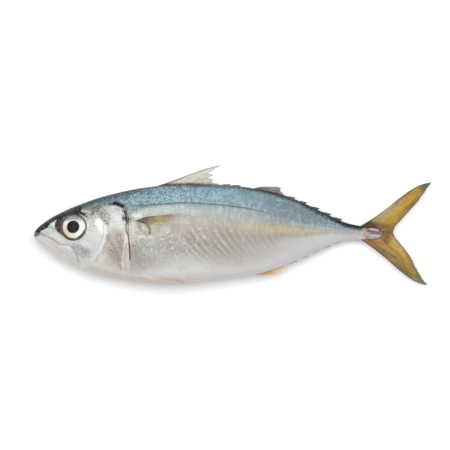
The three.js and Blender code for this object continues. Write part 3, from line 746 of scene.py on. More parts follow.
PIGMENTS = {
    "nape": [
        ([(43, 19.4), (50, 21)], 1.0, 3.0, 0.65),
        ([(104, 12.4), (112, 11.4), (124, 9.6), (136, 7.2)], 0.6, 3.2, 0.36),
        ([(27, 13.8), (34, 16.6), (44, 18.8)], 1.2, 3.0, 0.75),
    ],
    "fawn": [
        ([(4, 0.1), (8, -2.1), (12, -4.4), (14.2, -5.9)], 0.2, 0.9, 0.75),
        ([(44, -1), (45.6, -8), (45, -11)], 2.4, 4.6, 0.75),
        ([(40.6, -7), (42.6, -11)], 1.2, 3.4, 0.45),
    ],
    "putty": [
        ([(13, -7.2), (17.6, -8.4), (21, -10.6)], 0.9, 1.4, 0.7),
        ([(3, -0.6), (6.4, -2.4), (10.6, -4.9), (13.6, -7)], 0.5, 0.7, 0.8),
        ([(1.6, -2), (5, -4.6), (10, -8), (16, -11.6), (24, -15.6)], 0.6, 1.6, 0.75),
    ],
    "slate": [
        ([(164, 1.6), (177, 0.8)], 0.8, 2.6, 0.55),
        ([(6.4, 1.6), (9.6, 0.8)], 0.6, 1.6, 0.55),
        ([(23, -7.4), (28, -9.6)], 1.0, 4.4, 0.62),
        ([(14, -3.4), (20, -4.6), (28, -6)], 0.6, 1.6, 0.12),
    ],
    "mauve": [
        ([(55.4, -9), (57, -13), (59, -17)], 1.0, 3.0, 0.35),
        ([(76, 1.4), (84, -1), (88, -4)], 1.2, 3.0, 0.4),
        ([(48.9, -13), (49.2, -19)], 0.4, 1.0, 0.35),
        ([(180, 1.4), (189, 1)], 2.4, 1.8, 1.0),
    ],
    "clay": [
        ([(39.6, -2), (42.6, -8), (44.8, -14)], 1.6, 2.6, 0.55),
        ([(38.6, -8.5), (41.6, -14.5)], 1.2, 2.4, 0.4),
        ([(44.4, 1.6), (46.4, -5), (46.4, -12)], 0.4, 1.4, 0.3),
        ([(46, -1), (47.8, -6.4)], 1.4, 2.6, 0.7),
    ],
    "blush": [
        (along(BELLY, (30, 44, 58, 70, 80), 0.6), 0.6, 3.0, 0.7),
        ([(47, -19), (56, -21.5)], 1.5, 3.0, 0.4),
        ([(40.6, -14.6), (46, -17)], 1.2, 3.0, 0.6),
        (along(BELLY, (82, 94, 108), 0.6), 0.4, 2.4, 0.35),
        (gill_points(3, -18, -1.5), 0.35, 0.7, 0.6),
        ([(49.2, 8), (49.4, 3)], 0.2, 0.5, 0.7),
        ([(177.8, 0.4), (179, -0.6), (180.4, -1)], 0.6, 1.6, 0.6),
    ],
    # Cream lines and patches of skin; the line along the mouth is a painted highlight.
    "cream_and_highlight": [
        ([(2.8, -1.1), (6.6, -3.4), (10.6, -6), (14.4, -8.9), (18, -11.5)], 0.12, 0.45, 0.9),
        ([(51.7, 7.4), (52, 2), (52.2, -4), (52, -10), (51.7, -16), (51.2, -21)], 0.15, 0.5, 0.8),
        ([(49.7, 0), (48.8, -5.6), (48.2, -12.8), (47.8, -20.4)], 0.2, 0.5, 0.8),
        ([(63.4, 0.6), (67, 1.8), (71, 3)], 1.4, 2.6, 0.55),
        ([(54.4, 5.2), (58, 3.2)], 1.6, 2.6, 0.2),
        ([(52, -21.4), (64, -24), (76, -25.2)], 0.15, 0.6, 0.8),
    ],
    "gold": [
        ([(38, 7.6), (39.6, 4.6)], 0.5, 1.5, 0.4),
        ([(78, 9.4), (84, 8.8)], 1.0, 3.0, 0.3),
        ([(90, 7.8), (104, 5.6), (118, 3.6)], 1.0, 3.4, 0.38),
    ],
    "dusk": [
        ([(77, 4.6), (90, 2.8), (104, 1)], 1.5, 5.0, 0.5),
        ([(84, -1), (97, -4)], 1.5, 5.0, 0.5),
    ],
    "honey": [
        (along(BELLY, (128, 134, 142, 148, 154, 160), 0.4), 0.3, 3.0, 0.9),
    ],
    "moss": [
        ([(30.4, 11), (34, 13.6), (38.4, 11), (39, 8)], 1.6, 3.0, 0.66),
        ([(33, 7.4), (30.4, 2.4)], 0.8, 2.2, 0.45),
    ],
    "olive": [
        ([(31.4, 12), (34.4, 14.4)], 0.9, 1.6, 0.68),
        ([(35.2, 11.8), (37.6, 9.8)], 0.8, 1.5, 0.48),
        ([(38, 8.9), (39.4, 6)], 0.3, 1.2, 0.55),
        ([(48.4, 8.8), (51.2, 8.4), (51, 6.4)], 1.0, 1.3, 0.8),
    ],
    # Painted highlights and sheen on the gill cover, the cheek, the nostril and behind the breast fin,
    # over the silver skin's own white.
    "highlight_and_white": [
        ([(41, 13.4), (44, 13.6), (46, 12.2)], 0.9, 2.2, 0.5),
        ([(43, 10.4), (46.4, 9)], 0.7, 2.6, 0.42),
        ([(34.8, 6.6), (36.6, 5.4), (37, 2.4)], 0.6, 2.6, 0.95),
        ([(38.4, 1.4), (37.8, -3.8), (35.8, -8), (31.7, -14.4)], 0.3, 1.3, 0.7),
        ([(25.6, 13), (28.4, 12.6), (30.6, 12)], 0.25, 0.9, 0.5),
        ([(26.4, -4.6), (28.6, -5.4)], 0.7, 1.6, 0.7),
        ([(19, -3.6), (23.4, -4.4)], 0.5, 1.2, 0.5),
        ([(5.4, 2), (7.6, 1.8), (13, -1.6), (17, -3.4)], 0.7, 1.4, 0.6),
        ([(8.8, 5.2), (10.6, 5.2), (12.2, 6.4)], 0.5, 0.7, 0.85),
        ([(54.2, 10.4), (57.4, 10)], 0.6, 1.8, 0.6),
        ([(57.6, -1), (59.2, -1)], 0.3, 1.8, 0.6),
        ([(53.4, 6), (53.8, -4)], 0.4, 1.6, 0.35),
    ],
    # Painted glints on the scales along the back.
    "back_glints": [
        (along(BACK, (118, 128, 138, 148, 158, 166), -2.7), 0.4, 1.5, 0.5),
        (along(BACK, (125, 130, 134), -2.9), 0.4, 1.0, 0.5),
        ([(150, 5.6), (160, 4.2)], 0.5, 1.4, 0.4),
        ([(53.4, 18), (59, 18.8)], 0.8, 2.0, 0.45),
    ],
    "pearl": [
        ([(53, 13.2), (60, 12.8), (70, 13.8), (80, 14.4)], 1.0, 2.4, 0.55),
        ([(64, 11.2), (76, 12.4), (88, 12)], 0.6, 2.8, 0.4),
        ([(58, -2), (62, -8), (72, -14), (80, -16)], 2.2, 5.0, 0.48),
        ([(62, -3), (70, -3.4)], 0.8, 2.6, 0.35),
        ([(72, 7.4), (82, 7)], 1.0, 3.4, 0.4),
        ([(160, 0), (168, -0.6), (176, -0.8)], 0.8, 2.4, 0.5),
    ],
    "loam": [
        (along(BACK, (66, 72, 84, 98, 111, 120), -0.4), 0.4, 1.6, 0.9),
        (along(BACK, (118, 124, 130, 136), -0.8), 1.0, 1.8, 1.0),
    ],
    "coral": [
        ([(10, -3.9), (12.6, -5.4), (15, -6)], 0.05, 0.5, 0.5),
        ([(43, -6.4), (44.6, -10.4), (46, -15), (47.2, -19)], 0.15, 0.8, 0.5),
        ([(46.4, -16), (47.2, -19)], 0.15, 0.7, 0.7),
        (gill_points(4, -6, -1.0), 0.1, 0.5, 0.4),
        (gill_points(-6, -13, 0.8), 0.2, 0.7, 0.65),
        ([(178.8, 0.8), (180.4, -1.4)], 0.6, 1.3, 0.8),
        ([(179.4, -2.4), (183, -3.4)], 0.3, 0.9, 0.9),
    ],
    # Umber lines of the head; along the top of the jaw bone and the cheek step they are painted shade in
    # the grooves.
    "umber_and_groove_shade": [
        (JAW_BONE_TOP[:4], 0.05, 0.45, 0.55),
        ([(1.4, 1.4), (3.2, 0.4)], 0.45, 0.8, 0.85),
        (JAW_BONE_TOP[3:], 0.05, 0.45, 0.7),
        ([(23, -12), (24.2, -14.4)], 0.2, 0.8, 0.5),
        (CHEEK_STEP[1:], 0.1, 1.0, 0.3),
        ([(8.1, 4.5), (10.6, 3.6), (13.9, 1.0), (17, -1.2)], 0.1, 0.5, 0.7),
        ([(42, 2.6), (43.6, -2), (45.6, -8)], 0.05, 0.6, 0.35),
        ([(2.2, 1.3), (4.6, 0.2)], 0.4, 0.9, 0.6),
    ],
    "snout": [
        ([(0.4, 0.3), (1.4, 0.6)], 1.2, 1.0, 1.0),
    ],
    "plum": [
        ([(180.2, 2.6), (182.4, 1.2), (185.6, 0.6), (187.6, 0.9)], 0.4, 0.9, 0.85),
        ([(179.8, 3.4), (181, 2.2)], 0.3, 0.9, 0.8),
        ([(186.4, 2.9), (188.6, 1.4)], 0.6, 1.0, 0.9),
    ],
    "bone": [
        ([(182, 3), (184.4, 2.6), (185.8, 2.2)], 0.3, 0.8, 0.8),
        ([(182.8, -0.9), (186.6, -1.3)], 0.6, 1.1, 0.85),
    ],
    # The gill slit's dark brown, deepened with painted shade, and the brown of the tail root.
    "slit_shade_and_tail_brown": [
        ([(49.8, 7), (49.9, 3), (50.5, 0)], 0.15, 0.5, 0.9),
        ([(51.1, 6.4), (51.1, 2), (51.1, -2)], 0.1, 0.4, 0.7),
        (gill_points(0, -13.5, 0.15), 0.15, 0.45, 1.0),
        ([(189.4, 4), (190, 1), (189.2, -2.6)], 0.7, 1.5, 1.0),
        ([(180.6, 4.6), (184, 4.3), (187.4, 3.4), (189, 2)], 0.6, 0.9, 1.0),
        ([(181, -3), (185.4, -2.9), (188.4, -2.2)], 0.3, 0.9, 0.8),
        ([(187.6, 2.8), (188.4, 0.4), (187.4, -2)], 0.2, 1.0, 0.65),
    ],
    # The dark bronze patch in front of the eye, and a thin line of painted shade in the gill slit.
    "bronze_and_slit_shade": [
        ([(14, 8.4), (12.6, 5.4), (13.8, 2.4)], 1.1, 0.7, 1.0),
        ([(15.2, 8.4), (14.3, 5.6)], 0.5, 0.6, 1.0),
        ([(11.6, 4.6), (13.6, 1.8), (15.6, -0.3)], 0.2, 0.6, 0.8),
        (gill_points(0, -12.5, 0.15), 0.05, 0.4, 0.8),
        ([(50, 7.4), (50, 3.4), (50.6, 0)], 0.05, 0.5, 0.6),
    ],
    "soot": [
        ([(25, 15), (34, 18.2), (46, 21.6), (58, 24)], 0.5, 2.2, 0.8),
        ([(53, 22.2), (62, 23.2)], 0.8, 2.2, 0.5),
        ([(45.4, 14), (47.4, 13.4)], 0.6, 1.6, 0.35),
        (along(BACK, (84, 104, 118, 133, 146), -0.9), 0.4, 1.4, 0.6),
        (along(BACK, (146, 158, 168, 176), -1.4), 0.6, 1.8, 0.9),
        ([(41, 16), (44.4, 17)], 0.4, 1.0, 0.8),
        ([(48.8, 15.2), (49.8, 12.4)], 0.8, 1.5, 0.7),
        ([(51.4, 13.4), (55, 14.4), (60, 15.8)], 1.0, 2.2, 0.5),
        ([(51.4, 11.4), (54.6, 12)], 0.6, 1.6, 0.45),
    ],
    # The black of the back and the head, with painted shade in the nostril pits.
    "ink_and_pit_shade": [
        ([(1.9, 3), (4, 4.6), (7, 6.6)], 1.75, 0.8, 1.0),
        ([(3.6, 3.3), (6.4, 4.7)], 1.1, 0.7, 1.0),
        ([(8.4, 8.1), (12, 10.1), (16, 11.7), (20, 13), (24, 14)], 1.5, 0.9, 1.0),
        ([(14.2, 9.4), (17, 11.1), (21, 12), (24.4, 11.9)], 0.9, 0.9, 1.0),
        ([(24.4, 11.9), (26.2, 11.3), (27.4, 10.8)], 0.4, 1.0, 0.95),
        ([(27.4, 10.8), (28.6, 9.4)], 0.1, 0.8, 0.7),
        (along(BACK, (22, 34, 46, 58, 66), -0.2), 0.3, 1.3, 0.7),
        ([(24, 15), (32, 18.2), (40, 20.8)], 0.3, 1.4, 0.7),
        ([(43.6, 16.8), (45.6, 16.4), (48, 15.3)], 0.6, 1.0, 1.0),
        ([(49.4, 12.4), (49.9, 9)], 0.4, 0.9, 0.8),
        ([(48.6, 8.6), (50.8, 8), (50.8, 6.8)], 0.5, 1.0, 0.75),
        (along(BACK, (66, 70, 84, 98, 111), -0.1), 0.2, 0.8, 0.7),
        (along(BACK, (111, 122, 133, 146, 158, 168), -0.3), 0.3, 1.1, 0.85),
        ([(164, 7.6), (171, 5.1), (176, 4.6), (182, 4.8)], 0.6, 1.1, 1.0),
        # Painted shade in the two nostril pits.
        (NOSTRILS[0], 0.15, 0.5, 0.8),
        (NOSTRILS[1], 0.15, 0.5, 0.8),
    ],
}

BELLY_LINE = through([
    (0, -5), (24, -16), (50, -19.6), (66, -17.2), (78, -13), (88, -12.8), (99, -15),
    (106, -15.7), (121, -13.6), (144, -5.8), (160, -1.6), (172, -0.6), (BODY_END, 0),
])
# The band number, without its minus sign, where the flank turns into the white belly.
WHITE_FROM = 0.68


def body_band(x, y):
    """1 on the back, 0 on the lateral line, -WHITE_FROM where the belly turns white, -1 at its edge."""
    line, turn = LATERAL_LINE(x), BELLY_LINE(x)
    above = (y - line) / np.maximum(BACK(x) - line, 0.5)
    under = WHITE_FROM * (y - line) / np.maximum(line - turn, 0.5)
    lowest = -WHITE_FROM + (1 - WHITE_FROM) * (y - turn) / np.maximum(turn - BELLY(x), 0.5)
    return np.clip(np.where(y > line, above, np.where(y > turn, under, lowest)), -1, 1)


x, y, z = (vertices_of(body) / MM + ORIGIN).T
band = body_band(x, y)
store(body, "band", band)
# These two fade out sideways, within so many millimetres of the fish's middle plane.
KEEL_WIDTH = {"honey": 1.3, "loam": 5.0}
for pigment, strokes in PIGMENTS.items():
    mask = brushed(x, y, strokes)
    if pigment in KEEL_WIDTH:
        mask = mask * np.exp(-((z - REST_HEIGHT(x)) / KEEL_WIDTH[pigment]) ** 2)
    store(body, pigment, mask)
streak = np.exp(-((band + 0.25) / 0.085) ** 2)
masks = {
    "head": smooth((GILL_EDGE(y) + 0.6 - x) / 1.2) * smooth((0.3 - band) / 0.4),
    "rear": smooth((x - 90) / 60),
    "shoulder": smooth((116 - x) / 50),
    "streak": streak * smooth((x - 108) / 24) * smooth((166 - x) / 20),
    "mottled": brushed(x, y, [([(60, -2), (70, -6), (77, -6)], 5, 7, 1.0)]),
    "speckled": brushed(x, y, [([(51, 11), (55, 14), (62, 17)], 2.5, 5, 1.0)]),
    "line_away": y - LATERAL_LINE(x),
    "line_seen": smooth((x - LINE_START) / 5) * smooth((140 - x) / 30),
    "rib_phase": rib_phase(x, y),
    "rib_strength": rib_strength(x, y),
}
for name, mask in masks.items():
    store(body, name, mask)
select_only(body)
bpy.ops.object.shade_smooth()
print("masks:", [a.name for a in body.data.attributes if a.data_type == "FLOAT"])

# %% [markdown]
# ## Colour patches of the fins
# The tail is not one yellow: it is reddish at the root, tan with pale strands along the front
# rays, golden in the middle and grey at the tips. The breast fins go from brown to sand, and the
# first dorsal fin is dark at its foot. The same brush lays these patches, in the drawing's
# millimetres.

# %% Masks of the fins
TAIL_PIGMENTS = {
    "amber": [
        ([(190, 8), (196.5, 12.2), (203, 18.6), (208.6, 23.2)], 0.9, 4.0, 0.9),
        ([(191.6, -3.4), (198, -8.4), (203, -14), (206.4, -19)], 0.9, 3.6, 0.9),
    ],
    "straw": [
        ([(184, 7.6), (188, 10.8), (194, 16)], 0.5, 2.2, 0.7),
        ([(186, 6.4), (192, 11), (199, 18.4)], 0.1, 1.1, 0.75),
        ([(194.4, -2.6), (198, -6.4), (201.6, -10.6)], 0.4, 1.4, 0.7),
    ],
    "ochre": [
        ([(189.6, -4.6), (196, -9.8), (200.6, -15)], 0.25, 1.4, 0.8),
        ([(197.6, 10.4), (203.4, 15.6), (207, 20)], 0.2, 1.4, 0.6),
        ([(191, 3.4), (193.6, 1.6)], 0.6, 1.8, 0.8),
    ],
    "bark": [
        ([(188.6, 3.6), (191, 1), (190.4, -2.4)], 0.9, 3.4, 0.85),
        ([(178.4, 5), (184, 4.6), (190, 3.2)], 0.6, 3.6, 0.85),
        ([(189, -8.6), (195, -12.6)], 0.3, 1.8, 0.7),
    ],
    "clove": [
        ([(177, 5), (180.4, 5.8), (183.2, 4.6)], 0.7, 2.3, 0.95),
        ([(180.4, 7.2), (187.4, 13.3), (194, 19)], 0.1, 1.2, 0.85),
    ],
    "salmon": [
        ([(178.6, -3.6), (183, -4.8), (188, -5)], 0.6, 1.8, 0.9),
    ],
    "ash": [
        ([(210.6, 26.6), (215, 28)], 0.9, 3.2, 0.9),
        ([(209, -24), (213, -27.3)], 0.6, 2.8, 0.9),
        ([(186, -7.6), (190, -10.8)], 0.5, 1.8, 0.4),
    ],
}
# The breast fin is nearly black where it is held, greenish along its root and sandy below.
BREAST_PIGMENTS = {
    "copper": [([(60, 7.8), (65, 8)], 0.8, 2.2, 0.8)],
    "gilt": [([(67, 9.4), (70.6, 8.8), (70, 6.4)], 0.8, 2.2, 0.8)],
    "apex": [([(54.8, 7.2), (58, 7.7), (60.6, 8.2)], 0.6, 2.2, 0.95)],
    "sand": [([(64.4, 0.6), (66, 4), (69, 4.6)], 1.4, 2.2, 0.85)],
    "sage": [([(60.8, 5.6), (62.2, 3.4), (62.4, 0.6)], 0.7, 0.9, 0.9)],
}
# The foot of the first dorsal fin is as dark as the groove that it folds into.
GROOVE_PIGMENTS = {"groove": [(along(BACK, (60, 70, 82, 92, 100), 0.1), 0.45, 0.7, 0.9)]}
painted = [(tail_fin, TAIL_PIGMENTS), (first_dorsal, GROOVE_PIGMENTS)]
painted += [(fin, BREAST_PIGMENTS) for fin in paired if fin.name.startswith("breast")]
for fin, pigments in painted:
    fin_x, fin_y, _ = (vertices_of(fin) / MM + ORIGIN).T
    for pigment, strokes in pigments.items():
        store(fin, pigment, brushed(fin_x, fin_y, strokes))
    print(f"masks of {fin.name}:", list(pigments))

# %% [markdown]
# ## Building materials in code
# A material is a tree of nodes. One short helper adds a node and fills its inputs: a number or a
# colour is set on the socket, and a socket of another node is linked to it. Every tone is written
# as the eye sees it on the table, and one factor turns it into the duller colour of the surface.

# %% Node helpers
PAINT = 0.8


def linear(text):
    """A web colour as Blender's linear red, green, blue and alpha.

    The tones are written as they look under the lamps, which are a quarter brighter than white.
    """
    values = [int(text[i:i + 2], 16) / 255 for i in (1, 3, 5)]
    values = [v / 12.92 if v < 0.04045 else ((v + 0.055) / 1.055) ** 2.4 for v in values]
    return [v * PAINT for v in values] + [1]


def add(tree, kind, inputs=None, **settings):
    """Adds a node. Inputs are set by name or number, settings are the node's own properties."""
    node = tree.nodes.new(kind)
    for name, value in settings.items():
        setattr(node, name, value)
    for name, value in (inputs or {}).items():
        socket = node.inputs[name]
        if isinstance(value, bpy.types.NodeSocket):
            tree.links.new(value, socket)
        else:
            socket.default_value = linear(value) if isinstance(value, str) else value
    return node


def math_node(tree, operation, *values, clamp=False):
    inputs = dict(enumerate(values))
    return add(tree, "ShaderNodeMath", inputs, operation=operation, use_clamp=clamp).outputs[0]


def mix(tree, factor, low, high):
    """Mixes two colours."""
    inputs = {0: factor, 6: low, 7: high}
    return add(tree, "ShaderNodeMix", inputs, data_type="RGBA", clamp_factor=True).outputs[2]


def tint(tree, base, tone, strength, *masks):
    """Lays a tone over the base by a strength times any number of masks."""
    for mask in masks:
        strength = math_node(tree, "MULTIPLY", strength, mask)
    return mix(tree, strength, base, tone)


def ramp(tree, factor, stops):
    """A colour ramp with (place, colour) stops."""
    node = add(tree, "ShaderNodeValToRGB", {"Fac": factor})
    elements = node.color_ramp.elements
    while len(elements) < len(stops):
        elements.new(0.5)
    for element, (place, colour) in zip(elements, sorted(stops)):
        element.position = place
        element.color = linear(colour)
    return node.outputs["Color"]


def attribute(tree, name):
    return add(tree, "ShaderNodeAttribute", attribute_name=name).outputs["Fac"]


def noise(tree, vector, scale, detail=2.0, roughness=0.5):
    inputs = {"Vector": vector, "Scale": scale, "Detail": detail, "Roughness": roughness}
    return add(tree, "ShaderNodeTexNoise", inputs).outputs["Fac"]


def drawn_noise(tree, vector, scale, detail, roughness=0.5, turn=0.0):
    """Noise that is drawn out: it has a scale for each direction, and may be turned."""
    inputs = {"Vector": vector, "Scale": scale, "Rotation": (0, 0, turn)}
    mapped = add(tree, "ShaderNodeMapping", inputs).outputs[0]
    return noise(tree, mapped, 1.0, detail, roughness)


def map_range(tree, value, low, high, to_low=0.0, to_high=1.0):
    inputs = {"Value": value, "From Min": low, "From Max": high, "To Min": to_low, "To Max": to_high}
    return add(tree, "ShaderNodeMapRange", inputs, clamp=True).outputs["Result"]


def frayed(tree, mask, grain, ragged):
    """Frays the edge of a mask with a noise: 0 leaves it alone, 1 breaks it up into specks."""
    loss = map_range(tree, grain, 0.36, 0.64, ragged, 0.0)
    return map_range(tree, math_node(tree, "SUBTRACT", mask, loss), 0.0, 1 - 0.6 * ragged)


def new_material(name, **constants):
    """An empty Principled material. The constants are set on the shader's own sockets."""
    material = bpy.data.materials.new(name)
    material.use_nodes = True
    tree = material.node_tree
    tree.nodes.clear()
    shader = add(tree, "ShaderNodeBsdfPrincipled", constants)
    output = add(tree, "ShaderNodeOutputMaterial")
    tree.links.new(shader.outputs[0], output.inputs["Surface"])
    return material, tree, shader


# %% [markdown]
# ## Grain that every wet surface shares
# Skin, fins and the eye rims are all covered by the same thin slime. It is a group: it takes the
# place and a size, and gives a fine height and an uneven roughness. A second group scatters the
# tiny dark pigment cells that pepper the back, the gill covers and the fins.

# %% Shared node groups
def new_group(name, inputs, outputs):
    tree = bpy.data.node_groups.new(name, "ShaderNodeTree")
    for label, kind, value in inputs:
        socket = tree.interface.new_socket(label, in_out="INPUT", socket_type=kind)
        if value is not None:
            socket.default_value = value
    for label, kind in outputs:
        tree.interface.new_socket(label, in_out="OUTPUT", socket_type=kind)
    return tree, tree.nodes.new("NodeGroupInput"), tree.nodes.new("NodeGroupOutput")


def slime_group():
    inputs = [
        ("Vector", "NodeSocketVector", None), ("Grain", "NodeSocketFloat", 1400.0),
        ("Roughness", "NodeSocketFloat", 0.35), ("Spread", "NodeSocketFloat", 0.12),
    ]
    tree, start, end = new_group("slime", inputs, [
        ("Height", "NodeSocketFloat"), ("Roughness", "NodeSocketFloat"),
    ])
    fine = noise(tree, start.outputs["Vector"], start.outputs["Grain"], 3.0, 0.6)
    pools = noise(tree, start.outputs["Vector"], 130.0, 2.0)
    centred = math_node(tree, "SUBTRACT", pools, 0.5)
    swing = math_node(tree, "MULTIPLY", centred, start.outputs["Spread"])
    rough = math_node(tree, "MULTIPLY_ADD", swing, 2.0, start.outputs["Roughness"], clamp=True)
    height = math_node(tree, "MULTIPLY_ADD", pools, 0.6, fine)
    tree.links.new(height, end.inputs["Height"])
    tree.links.new(rough, end.inputs["Roughness"])
    return tree


def pepper_group():
    inputs = [("Vector", "NodeSocketVector", None), ("Scale", "NodeSocketFloat", 1100.0)]
    tree, start, end = new_group("pepper", inputs, [("Mask", "NodeSocketFloat")])
    inputs = {"Vector": start.outputs["Vector"], "Scale": start.outputs["Scale"], "Randomness": 0.9}
    cells = add(tree, "ShaderNodeTexVoronoi", inputs)
    clumps = noise(tree, start.outputs["Vector"], 420.0, 2.0)
    dots = map_range(tree, cells.outputs["Distance"], 0.15, 0.5, 1.0, 0.0)
    kept = map_range(tree, clumps, 0.4, 0.6)
    tree.links.new(math_node(tree, "MULTIPLY", dots, kept), end.inputs["Mask"])
    return tree


SLIME = slime_group()
PEPPER = pepper_group()


def slime(tree, vector, grain, roughness):
    inputs = {"Vector": vector, "Grain": grain, "Roughness": roughness, "Spread": 0.1}
    node = add(tree, "ShaderNodeGroup", inputs, node_tree=SLIME)
    return node.outputs["Height"], node.outputs["Roughness"]


def pepper(tree, vector, scale):
    inputs = {"Vector": vector, "Scale": scale}
    return add(tree, "ShaderNodeGroup", inputs, node_tree=PEPPER).outputs["Mask"]


def finish_surface(tree, shader, colour, rough, height, distance, strength=1.0):
    """Links the colour, the roughness and a fine relief, as deep as a distance in metres."""
    inputs = {"Height": height, "Distance": distance, "Strength": strength}
    tree.links.new(colour, shader.inputs["Base Color"])
    tree.links.new(rough, shader.inputs["Roughness"])
    tree.links.new(add(tree, "ShaderNodeBump", inputs).outputs["Normal"], shader.inputs["Normal"])


print("groups:", SLIME.name, PEPPER.name)

# %% [markdown]
# ## The skin
# The base is a ramp along the band number, shaken by noise so that no border is a clean line.
# Over it come the thin lateral line, the muscle segments, the gold streak and then the pigments,
# from the palest to the ink, among them painted highlights, glints and shade. Each pigment's mask
# is broken up by noise of its own size.

# %% The skin material
BAND_COLOURS = [
    (1.00, "#4b5250"), (0.93, "#566a73"), (0.80, "#789aa8"), (0.66, "#8aacbb"), (0.55, "#92b4c3"),
    (0.25, "#9fbcc8"), (0.05, "#95aab0"), (-0.02, "#9ca9ab"), (-0.09, "#a6aeae"),
    (-0.15, "#a3a59d"), (-0.22, "#aca697"), (-0.32, "#aea89b"), (-0.45, "#b3ada4"),
    (-0.6, "#bfbab4"), (-0.66, "#d0cdca"), (-0.74, "#e6e4e2"), (-0.85, "#f5f3f0"),
    (-0.95, "#ede6df"), (-1.00, "#e9ddd4"),
]
HEAD_COLOURS = [
    (-1.00, "#faf4ef"), (-0.75, "#f8f2ec"), (-0.50, "#e7e5e2"), (-0.25, "#d6d8d6"),
    (0.00, "#bebfb9"), (0.20, "#a1a8a6"),
]
# Each pigment: its colour, the scale of the noise in it and how much that frays its edge.
# Some are painted highlights and glints, and some paint shade into the gill slit, grooves and nostril
# pits.
PIGMENT_FINISH = [
    ("nape", "#697c82", 900.0, 0.5),
    ("fawn", "#baaba2", 300.0, 0.15),
    ("putty", "#e8e1d9", 300.0, 0.15),
    ("slate", "#989da3", 600.0, 0.4),
    ("mauve", "#a09797", 500.0, 0.4),
    ("clay", "#968880", 1700.0, 0.9),
    ("blush", "#dfcabd", 500.0, 0.3),
    ("gold", "#c1b48a", 260.0, 0.55),
    ("dusk", "#a0978a", 500.0, 0.5),
    ("honey", "#d8b984", 500.0, 0.3),
    ("moss", "#989c8a", 1500.0, 1.0),
    ("olive", "#5f6450", 1300.0, 0.9),
    ("highlight_and_white", "#f4f7f5", 900.0, 0.35),
    ("back_glints", "#b7c8d0", 1500.0, 1.0),
    ("pearl", "#d6d9d5", 1300.0, 0.55),
    ("cream_and_highlight", "#f4ebe3", 500.0, 0.3),
    ("coral", "#c09880", 500.0, 0.3),
    ("umber_and_groove_shade", "#7c6e67", 500.0, 0.4),
    ("snout", "#7d7567", 700.0, 0.3),
    ("plum", "#7f6965", 1100.0, 0.5),
    ("bone", "#cfc4c5", 1000.0, 0.5),
    ("slit_shade_and_tail_brown", "#7e5738", 700.0, 0.4),
    ("bronze_and_slit_shade", "#33211d", 1300.0, 0.6),
    ("loam", "#57563f", 1100.0, 0.6),
    ("soot", "#37454a", 1300.0, 0.9),
    ("ink_and_pit_shade", "#101212", 1100.0, 0.45),
]


